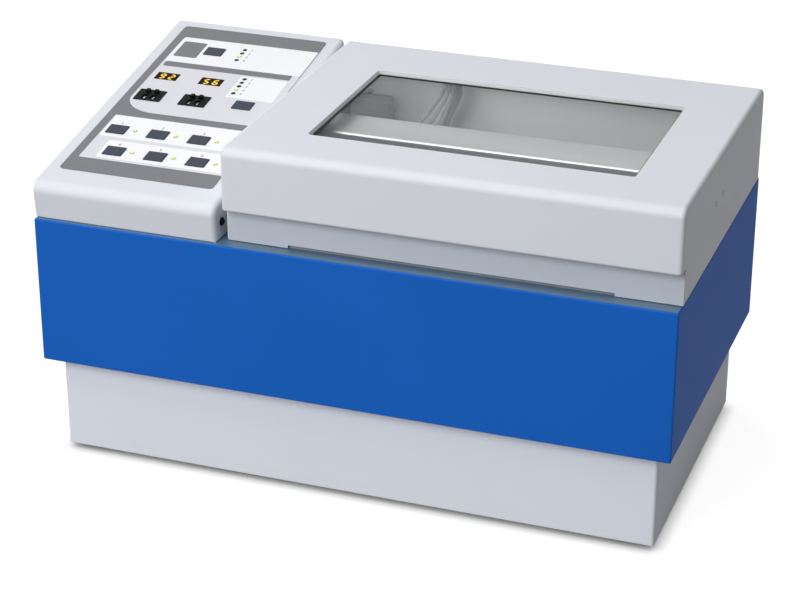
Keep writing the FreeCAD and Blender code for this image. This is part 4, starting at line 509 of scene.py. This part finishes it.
HOLES = [centred(x, s, *KEY_HOLE, KEY_HOLE_CORNER) for x, s in [MODE_BUTTON, SELECT_BUTTON] + CELL_BUTTONS]
HOLES += [centred(x, s, *DISPLAY_HOLE) for x, s in DISPLAYS]
HOLES += [centred(x, s, *SWITCH_SIZE) for x, s in SWITCHES]
HOLES += [circle(x, s, LAMP_RADIUS + LAMP_CLEARANCE) for x, s in MODE_LAMPS + STATUS_LAMPS + CELL_LAMPS]


PRINT_THICKNESS = PRINT_STEP * 0.9


def printed(name, outline, material, level, thickness=PRINT_THICKNESS):
    """The sheet or a printed area on it, open round every key, lamp and window inside it."""
    loops = [outline] + [hole for hole in HOLES if inside(outline, hole)]
    top = SHEET_TOP + PRINT_STEP * level
    vertices, faces = plate_mesh(loops, top, thickness)
    return piece_from(name, vertices, faces, material, "cabinet")


def curved_corner(x0, s0, x1, s1, steps=14):
    """A quarter of an oval from (x0, s1) down to (x1, s0)."""
    return [(x1 - (x1 - x0) * math.cos(math.radians(90 * k / steps)),
             s1 - (s1 - s0) * math.sin(math.radians(90 * k / steps))) for k in range(steps + 1)]


SHEET_LEFT = 12.4
SHEET_INSET = 0.05
SHEET_CORNER = 4.0
sheet_outline = rounded(SHEET_LEFT, SHEET[2] + SHEET_INSET, SHEET[1] - SHEET_INSET,
                        SHEET[3] - SHEET_INSET, (SHEET_CORNER,) * 4)
sheet = printed("panel_sheet", sheet_outline, SHEET_GREY, 0, SHEET_TOP)
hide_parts("panel_overlay")

# The printed areas, each with its corners' places and radii in millimetres and its level
upper_area = curved_corner(20.3, 144.5, 54.0, 172.0)
upper_area += [(164.9, 144.5), (164.9, 295.5), (24.0, 295.5), (22.2, 294.9), (21.4, 293.3), (20.8, 240.0)]
PRINTED_AREAS = [
    ("print_upper", upper_area, PRINT_PALE, 1),
    ("print_mode", rounded(22.0, 245.2, 164.2, 295.0, (1.0, 0.5, 0.5, 2.0)), PRINT_WHITE, 2),
    ("print_mode_label", rounded(25.4, 256.0, 50.0, 287.0, (2.0,) * 4), SHEET_GREY, 3),
    ("print_bar_upper", rounded(23.8, 235.0, 157.5, 244.5, (3.0, 0.6, 0.6, 3.0)), SHEET_GREY, 3),
    ("print_status", rounded(109.0, 190.5, 157.5, 232.6, (2.0,) * 4), PRINT_WHITE, 2),
    ("print_lower", rounded(21.2, 54.0, 164.9, 134.0, (1.5, 1.0, 0.5, 1.5)), PRINT_PALE, 1),
    ("print_cells_rear", rounded(22.5, 94.5, 162.0, 133.2, (3.0, 3.0, 1.5, 1.5)), PRINT_WHITE, 2),
    ("print_cells_front", rounded(36.0, 57.5, 162.0, 89.0, (3.0, 1.5, 3.0, 3.0)), PRINT_WHITE, 2),
]
for name, outline, material, level in PRINTED_AREAS:
    printed(name, outline, material, level)


# Figures

FONT_SIZE_SHARE = 1.4
PRINT_HALF_SHARE = 0.4
PRINT_FINENESS = 3
FIGURE_LEVEL = 2.6
CELL_FIGURE_HEIGHT = 4.2
CELL_FIGURE_GAP = 4.4
LAMP_FIGURE_HEIGHT = 3.8
LAMP_FIGURE_ASIDE = 7.5


def text_object(name, text, height, extrude, fineness, material, place):
    """A text object of the given figure height, centred on its place."""
    curve = bpy.data.curves.new(name, "FONT")
    curve.body = text
    curve.size = height * MM * FONT_SIZE_SHARE
    curve.extrude = extrude
    curve.align_x = "CENTER"
    curve.align_y = "CENTER"
    curve.resolution_u = fineness
    thing = bpy.data.objects.new(name, curve)
    bpy.context.scene.collection.objects.link(thing)
    thing.matrix_world = place
    curve.materials.append(material)
    return thing


def figure(name, text, x, s, height):
    """A plain printed figure on the panel."""
    lift = SHEET_TOP + PRINT_STEP * FIGURE_LEVEL
    place = PANEL @ Matrix.Translation((x * MM, s * MM, lift * MM))
    thing = text_object(name, text, height, PRINT_STEP * MM * PRINT_HALF_SHARE, PRINT_FINENESS,
                        PRINT_TEXT, place)
    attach(thing, "cabinet")


for number, (x, s) in enumerate(CELL_BUTTONS, start=1):
    above = s + BUTTON[1] / 2 + CELL_FIGURE_GAP
    figure(f"cell_figure_{number}", str(number), x, above, CELL_FIGURE_HEIGHT)
for kind, places in (("mode", MODE_LAMPS), ("status", STATUS_LAMPS)):
    for number, (x, s) in enumerate(places, start=1):
        figure(f"{kind}_figure_{number}", str(number), x + LAMP_FIGURE_ASIDE, s, LAMP_FIGURE_HEIGHT)

# Seven-segment digits: segments named by their places
SEGMENTS = {
    "2": "top right_up middle left_down bottom",
    "5": "top left_up middle right_down bottom",
    "6": "top left_up middle left_down right_down bottom",
    "9": "top left_up right_up middle right_down bottom",
}
DIGIT_WIDTH = 6.0
DIGIT_HEIGHT = 10.2
DIGIT_STROKE = 2.0
DIGIT_PITCH = 9.6
DIGIT_LEAN = 0.10
DIGIT_GAP = 0.12
DIGIT_LIFT = 0.08
DIGIT_THICKNESS = 0.06


def segment(place):
    """The outline of one segment about the digit's middle."""
    w, h, t = DIGIT_WIDTH / 2, DIGIT_HEIGHT / 2, DIGIT_STROKE / 2
    gap = DIGIT_GAP
    if place in ("top", "middle", "bottom"):
        y = {"top": h - t, "middle": 0.0, "bottom": t - h}[place]
        return [(-w + t + gap, y), (-w + 2 * t + gap, y + t), (w - 2 * t - gap, y + t),
                (w - t - gap, y), (w - 2 * t - gap, y - t), (-w + 2 * t + gap, y - t)]
    x = (w - t) if "right" in place else (t - w)
    low, high = (0.0, h - t) if "up" in place else (t - h, 0.0)
    return [(x, low + gap), (x + t, low + t + gap), (x + t, high - t - gap),
            (x, high - gap), (x - t, high - t - gap), (x - t, low + t + gap)]


def display_digits(name, text, x, s):
    """The lit digits of one display."""
    vertices, faces = [], []
    for index, sign in enumerate(text):
        middle = x + (index - (len(text) - 1) / 2) * DIGIT_PITCH
        for place in SEGMENTS[sign].split():
            outline = [(middle + px + DIGIT_LEAN * py, s + py) for px, py in segment(place)]
            more, sides = plate_mesh([outline], FACE_TOP + DIGIT_LIFT, DIGIT_THICKNESS)
            faces += [tuple(k + len(vertices) for k in side) for side in sides]
            vertices += more
    return piece_from(name, vertices, faces, DIGIT, "cabinet")


for name, text, (x, s) in zip(("temperature_digits", "time_digits"), ("92", "56"), DISPLAYS):
    display_digits(name, text, x, s)


# The turned lip along the front of the exhaust hood

HOOD_FRONT = 121.55 * MM
HOOD_LIP_Z = 276.6 * MM
HOOD_LIP_HEIGHT = 1.1 * MM
HOOD_LIP_REACH = 0.7 * MM
HOOD_LIP_END = 3.5 * MM
HOOD_LIP_STEPS = 6


def hood_lip():
    """A thin rounded strip on the hood's front face."""
    low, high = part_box("exhaust_duct")
    x0 = low.x + HOOD_LIP_END
    x1 = high.x - HOOD_LIP_END
    outline = []
    for k in range(HOOD_LIP_STEPS + 1):
        angle = math.pi * k / HOOD_LIP_STEPS
        outline.append((HOOD_FRONT - HOOD_LIP_REACH * math.sin(angle),
                        HOOD_LIP_Z - HOOD_LIP_HEIGHT / 2 * math.cos(angle)))
    vertices = [(x, y, z) for x in (x0, x1) for y, z in outline]
    count = len(outline)
    faces = [(k, k + 1, k + 1 + count, k + count) for k in range(count - 1)]
    faces.append((count - 1, 0, count, 2 * count - 1))
    faces.append(tuple(reversed(range(count))))
    faces.append(tuple(range(count, 2 * count)))
    piece_from("hood_lip", vertices, faces, SCREW, "cabinet", smooth=True)


hood_lip()


# Lamps

LENS_DEPTH = 14.0
LENS_LIFT = 0.2
LENS_CROWN = 0.6
CORE_SHARE = 0.55
CORE_LIFT = 0.75
CORE_CROWN = 0.12
CORE_RINGS = 3
CORE_STEPS = 16


def dome(name, x, s, radius, base, height, material, rings=6, steps=24):
    """A round lens: a short wall with a rounded top."""
    vertices, faces = [], []
    levels = [(radius, base - LENS_DEPTH), (radius, base)]
    levels += [(radius * math.cos(math.radians(90 * k / rings)),
                base + height * math.sin(math.radians(90 * k / rings))) for k in range(1, rings)]
    for ring_radius, n in levels:
        for k in range(steps):
            angle = WHOLE_TURN * k / steps
            point = Vector(((x + ring_radius * math.cos(angle)) * MM,
                            (s + ring_radius * math.sin(angle)) * MM, n * MM))
            vertices.append(PANEL @ point)
    for level in range(len(levels) - 1):
        for k in range(steps):
            a, b = level * steps + k, level * steps + (k + 1) % steps
            faces.append((a, b, b + steps, a + steps))
    crown = len(vertices)
    vertices.append(PANEL @ Vector((x * MM, s * MM, (base + height) * MM)))
    last = (len(levels) - 1) * steps
    faces += [(last + k, last + (k + 1) % steps, crown) for k in range(steps)]
    faces.append(tuple(reversed(range(steps))))
    return piece_from(name, vertices, faces, material, "cabinet", smooth=True)


LIT_MODE = 2
LIT_STATUS = 3
LIT_CELLS = set(range(len(CELL_LAMPS)))
lamp_states = [("mode_lamp", MODE_LAMPS, {LIT_MODE}), ("status_lamp", STATUS_LAMPS, {LIT_STATUS}),
               ("cell_lamp", CELL_LAMPS, LIT_CELLS)]
for kind, places, lit in lamp_states:
    for index, (x, s) in enumerate(places):
        shining = index in lit
        lens = dome(f"{kind}_{index + 1}", x, s, LAMP_RADIUS, SHEET_TOP + LENS_LIFT, LENS_CROWN,
                    LAMP_LIT if shining else LAMP_DARK)
        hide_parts("panel_lamps")
        if shining:
            dome(f"{kind}_core_{index + 1}", x, s, LAMP_RADIUS * CORE_SHARE, SHEET_TOP + CORE_LIFT,
                 CORE_CROWN, LAMP_CORE, CORE_RINGS, CORE_STEPS)


# Figures on the digit wheels

WHEEL_FACES = 10
WHEEL_RADIUS = 5.2
FIGURE_HEIGHT = 3.4
FIGURE_THICKNESS = 0.03 * MM
FIGURE_LIFT = 0.04 * MM
FIGURE_FINENESS = 2


def wheel_figures(node, shown):
    """Ten figures round a drum, the shown one at the top."""
    low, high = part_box(node)
    centre = (low + high) / 2
    flat_distance = WHEEL_RADIUS * math.cos(math.pi / WHEEL_FACES) * MM
    for k in range(WHEEL_FACES):
        turn = Matrix.Rotation(PANEL_SLOPE + WHOLE_TURN * k / WHEEL_FACES, 4, "X")
        lift = Matrix.Translation((0, 0, flat_distance + FIGURE_LIFT))
        thing = text_object(f"{node}_figure_{k}", str((shown + k) % WHEEL_FACES), FIGURE_HEIGHT,
                            FIGURE_THICKNESS, FIGURE_FINENESS, FIGURE_WHITE,
                            Matrix.Translation(centre) @ turn @ lift)
        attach(thing, node)


for node, shown in (("temperature_tens_wheel", 6), ("temperature_units_wheel", 0),
                    ("time_tens_wheel", 4), ("time_units_wheel", 5)):
    wheel_figures(node, shown)


# Gas lines: smooth tubes in place of the gas_lines part

LINE_RADIUS = 1.6 * MM
LINE_ROUNDNESS = 4
LINE_FINENESS = 10
SPLINE_ORDER = 3


def tube_mesh(name, points, radius):
    """A mesh tube along one smooth spline through the given control points."""
    curve = bpy.data.curves.new(name + "_path", "CURVE")
    curve.dimensions = "3D"
    curve.bevel_depth = radius
    curve.bevel_resolution = LINE_ROUNDNESS
    curve.use_fill_caps = True
    spline = curve.splines.new("NURBS")
    spline.points.add(len(points) - 1)
    for point, place in zip(spline.points, points):
        point.co = (*place, 1)
    spline.order_u = SPLINE_ORDER
    spline.use_endpoint_u = True
    spline.resolution_u = LINE_FINENESS
    thing = bpy.data.objects.new(name + "_path", curve)
    bpy.context.scene.collection.objects.link(thing)
    bpy.context.view_layer.update()
    mesh = bpy.data.meshes.new_from_object(thing.evaluated_get(bpy.context.evaluated_depsgraph_get()))
    mesh.name = name
    bpy.data.objects.remove(thing)
    piece = bpy.data.objects.new(name, mesh)
    bpy.context.scene.collection.objects.link(piece)
    mesh.materials.clear()
    mesh.materials.append(TUBE)
    for face in mesh.polygons:
        face.use_smooth = True
    return piece


COLUMNS = 3
ROWS = 2
PITCH_X = 3.6 * MM
PITCH_Y = 4.0 * MM

# Heights over the lines' lower ends and under their upper ends
RISE_FIRST = 10 * MM
RISE_SECOND = 22 * MM
DROP_FIRST = 18 * MM
DROP_SECOND = 8 * MM
lines_low, lines_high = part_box("gas_lines")
low_x = lines_low.x + LINE_RADIUS + PITCH_X
high_x = lines_high.x - LINE_RADIUS - PITCH_X
middle_y = (lines_low.y + lines_high.y) / 2
for column in range(COLUMNS):
    for row in range(ROWS):
        shift_x = (column - (COLUMNS - 1) / 2) * PITCH_X
        y = middle_y + (row - (ROWS - 1) / 2) * PITCH_Y
        route = [(low_x + shift_x, y, lines_low.z),
                 (low_x + shift_x, y, lines_low.z + RISE_FIRST),
                 (low_x + shift_x, y, lines_low.z + RISE_SECOND),
                 (high_x + shift_x, y, lines_high.z - DROP_FIRST),
                 (high_x + shift_x, y, lines_high.z - DROP_SECOND),
                 (high_x + shift_x, y, lines_high.z)]
        line = tube_mesh(f"gas_line_{column * ROWS + row + 1}", route, LINE_RADIUS)
        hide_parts("gas_lines")
        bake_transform(line)


# Smooth shading of the carried-over solids

EDGE_ANGLE = math.radians(32)
for node in NODES.values():
    for face in node.data.polygons:
        face.use_smooth = True
    smoothing = node.modifiers.new("edges", "EDGE_SPLIT")
    smoothing.split_angle = EDGE_ANGLE


# Camera

YAW = math.radians(19.59)
PITCH = math.radians(24.52)
ROLL = math.radians(0.14)
FOCAL_PIXELS = 2300.79
PHOTO_WIDTH = 800
PHOTO_HEIGHT = 591
PRINCIPAL_X = 402.68
PRINCIPAL_Y = 288.19
SENSOR = 36.0
EYE = Vector((0.66323, -1.88059, 1.05117))
NEAREST = 0.05
FARTHEST = 50.0

forward = Vector((-math.sin(YAW) * math.cos(PITCH), math.cos(YAW) * math.cos(PITCH), -math.sin(PITCH)))
level = Vector((math.cos(YAW), math.sin(YAW), 0))
upward = level.cross(forward)
side = math.cos(ROLL) * level + math.sin(ROLL) * upward
over = -math.sin(ROLL) * level + math.cos(ROLL) * upward
camera_data = bpy.data.cameras.new("camera")
camera_data.sensor_width = SENSOR
camera_data.sensor_fit = "HORIZONTAL"
camera_data.lens = FOCAL_PIXELS / PHOTO_WIDTH * SENSOR
camera_data.shift_x = (PHOTO_WIDTH / 2 - PRINCIPAL_X) / PHOTO_WIDTH
camera_data.shift_y = (PRINCIPAL_Y - PHOTO_HEIGHT / 2) / PHOTO_WIDTH
camera_data.clip_start = NEAREST
camera_data.clip_end = FARTHEST
camera = bpy.data.objects.new("camera", camera_data)
camera.matrix_world = Matrix((
    (side.x, over.x, -forward.x, EYE.x),
    (side.y, over.y, -forward.y, EYE.y),
    (side.z, over.z, -forward.z, EYE.z),
    (0, 0, 0, 1)))
bpy.context.scene.collection.objects.link(camera)
bpy.context.scene.camera = camera


# Floor and light

FLOOR_SIZE = 12.0
FLOOR_GREY = 0.22
FLOOR_LIFT = 0.92
CONTACT_REACH = 0.014
CONTACT_SAMPLES = 8
WHITE = (1, 1, 1, 1)
floor_mesh = bpy.data.meshes.new("floor")
half = FLOOR_SIZE / 2
floor_mesh.from_pydata([(-half, -half, 0), (half, -half, 0), (half, half, 0), (-half, half, 0)], [],
                       [(0, 1, 2, 3)])
floor = bpy.data.objects.new("floor", floor_mesh)
bpy.context.scene.collection.objects.link(floor)
floor_material, floor_tree, floor_shader = new_material("floor_white")
floor_shader.inputs["Base Color"].default_value = (FLOOR_GREY, FLOOR_GREY, FLOOR_GREY, 1)
floor_shader.inputs["Roughness"].default_value = 1.0
floor_shader.inputs["Specular IOR Level"].default_value = 0.0
floor_shader.inputs["Emission Color"].default_value = WHITE
floor_mesh.materials.append(floor_material)


def seen_directly(tree):
    """One for camera, glossy and transmission rays, otherwise nothing."""
    path = tree.nodes.new("ShaderNodeLightPath")
    seen = path.outputs["Is Camera Ray"]
    for kind in ("Is Glossy Ray", "Is Transmission Ray"):
        either = tree.nodes.new("ShaderNodeMath")
        either.operation = "MAXIMUM"
        tree.links.new(seen, either.inputs[0])
        tree.links.new(path.outputs[kind], either.inputs[1])
        seen = either.outputs["Value"]
    return seen


# The floor's own brightness fades where the object stands close over it: a painted contact shadow
contact = floor_tree.nodes.new("ShaderNodeAmbientOcclusion")
contact.inputs["Distance"].default_value = CONTACT_REACH
contact.samples = CONTACT_SAMPLES
floor_tree.links.new(contact.outputs["Color"], floor_shader.inputs["Emission Color"])
lift = floor_tree.nodes.new("ShaderNodeMath")
lift.operation = "MULTIPLY"
lift.inputs[1].default_value = FLOOR_LIFT
floor_tree.links.new(seen_directly(floor_tree), lift.inputs[0])
floor_tree.links.new(lift.outputs["Value"], floor_shader.inputs["Emission Strength"])

scene = bpy.context.scene
scene.view_settings.view_transform = "Standard"
scene.view_settings.look = "None"
scene.view_settings.exposure = 0.0
scene.view_settings.gamma = 1.0

ROOM_COLOUR = (0.97, 0.98, 1.0, 1)
ROOM_LIGHT = 0.17
world = bpy.data.worlds.new("studio")
scene.world = world
world.use_nodes = True
tree = world.node_tree
tree.nodes.clear()
output = tree.nodes.new("ShaderNodeOutputWorld")
ambient = tree.nodes.new("ShaderNodeBackground")
ambient.inputs["Color"].default_value = ROOM_COLOUR
ambient.inputs["Strength"].default_value = ROOM_LIGHT
backdrop = tree.nodes.new("ShaderNodeBackground")
backdrop.inputs["Color"].default_value = WHITE
backdrop.inputs["Strength"].default_value = 1.0
mix = tree.nodes.new("ShaderNodeMixShader")
tree.links.new(seen_directly(tree), mix.inputs["Fac"])
tree.links.new(ambient.outputs["Background"], mix.inputs[1])
tree.links.new(backdrop.outputs["Background"], mix.inputs[2])
tree.links.new(mix.outputs["Shader"], output.inputs["Surface"])


def soft_light(name, place, target, size, power):
    """A square lamp at a place, turned to its target; size in metres, power in watts."""
    data = bpy.data.lights.new(name, "AREA")
    data.shape = "SQUARE"
    data.size = size
    data.energy = power
    light = bpy.data.objects.new(name, data)
    light.location = place
    light.rotation_euler = (Vector(target) - Vector(place)).to_track_quat("-Z", "Y").to_euler()
    scene.collection.objects.link(light)
    return light


MIDDLE = (0.0, 0.0, 0.15)
KEY_LIGHT = {"place": (-0.75, -2.95, 2.05), "target": MIDDLE, "size": 2.0, "power": 83.0}
TOP_LIGHT = {"place": (-0.9, -0.7, 3.2), "target": MIDDLE, "size": 2.4, "power": 43.0}
BACK_LIGHT = {"place": (-2.7, 2.6, 1.5), "target": MIDDLE, "size": 1.8, "power": 60.0}
soft_light("key", **KEY_LIGHT)
soft_light("top", **TOP_LIGHT)
back = soft_light("back", **BACK_LIGHT)
back.visible_glossy = False

# A small lamp inside the cover stands in for the light that its pale walls pass on
INSIDE_EYE = (0.07, -0.03, 0.318)
INSIDE_AIM = (0.09, 0.14, 0.262)
INSIDE_LENGTH = 0.32
INSIDE_WIDTH = 0.01
INSIDE_POWER = 0.15
inner = soft_light("inside", INSIDE_EYE, INSIDE_AIM, INSIDE_LENGTH, INSIDE_POWER)
inner.data.shape = "RECTANGLE"
inner.data.size_y = INSIDE_WIDTH
inner.visible_camera = False
inner.visible_glossy = False
inner.visible_transmission = False
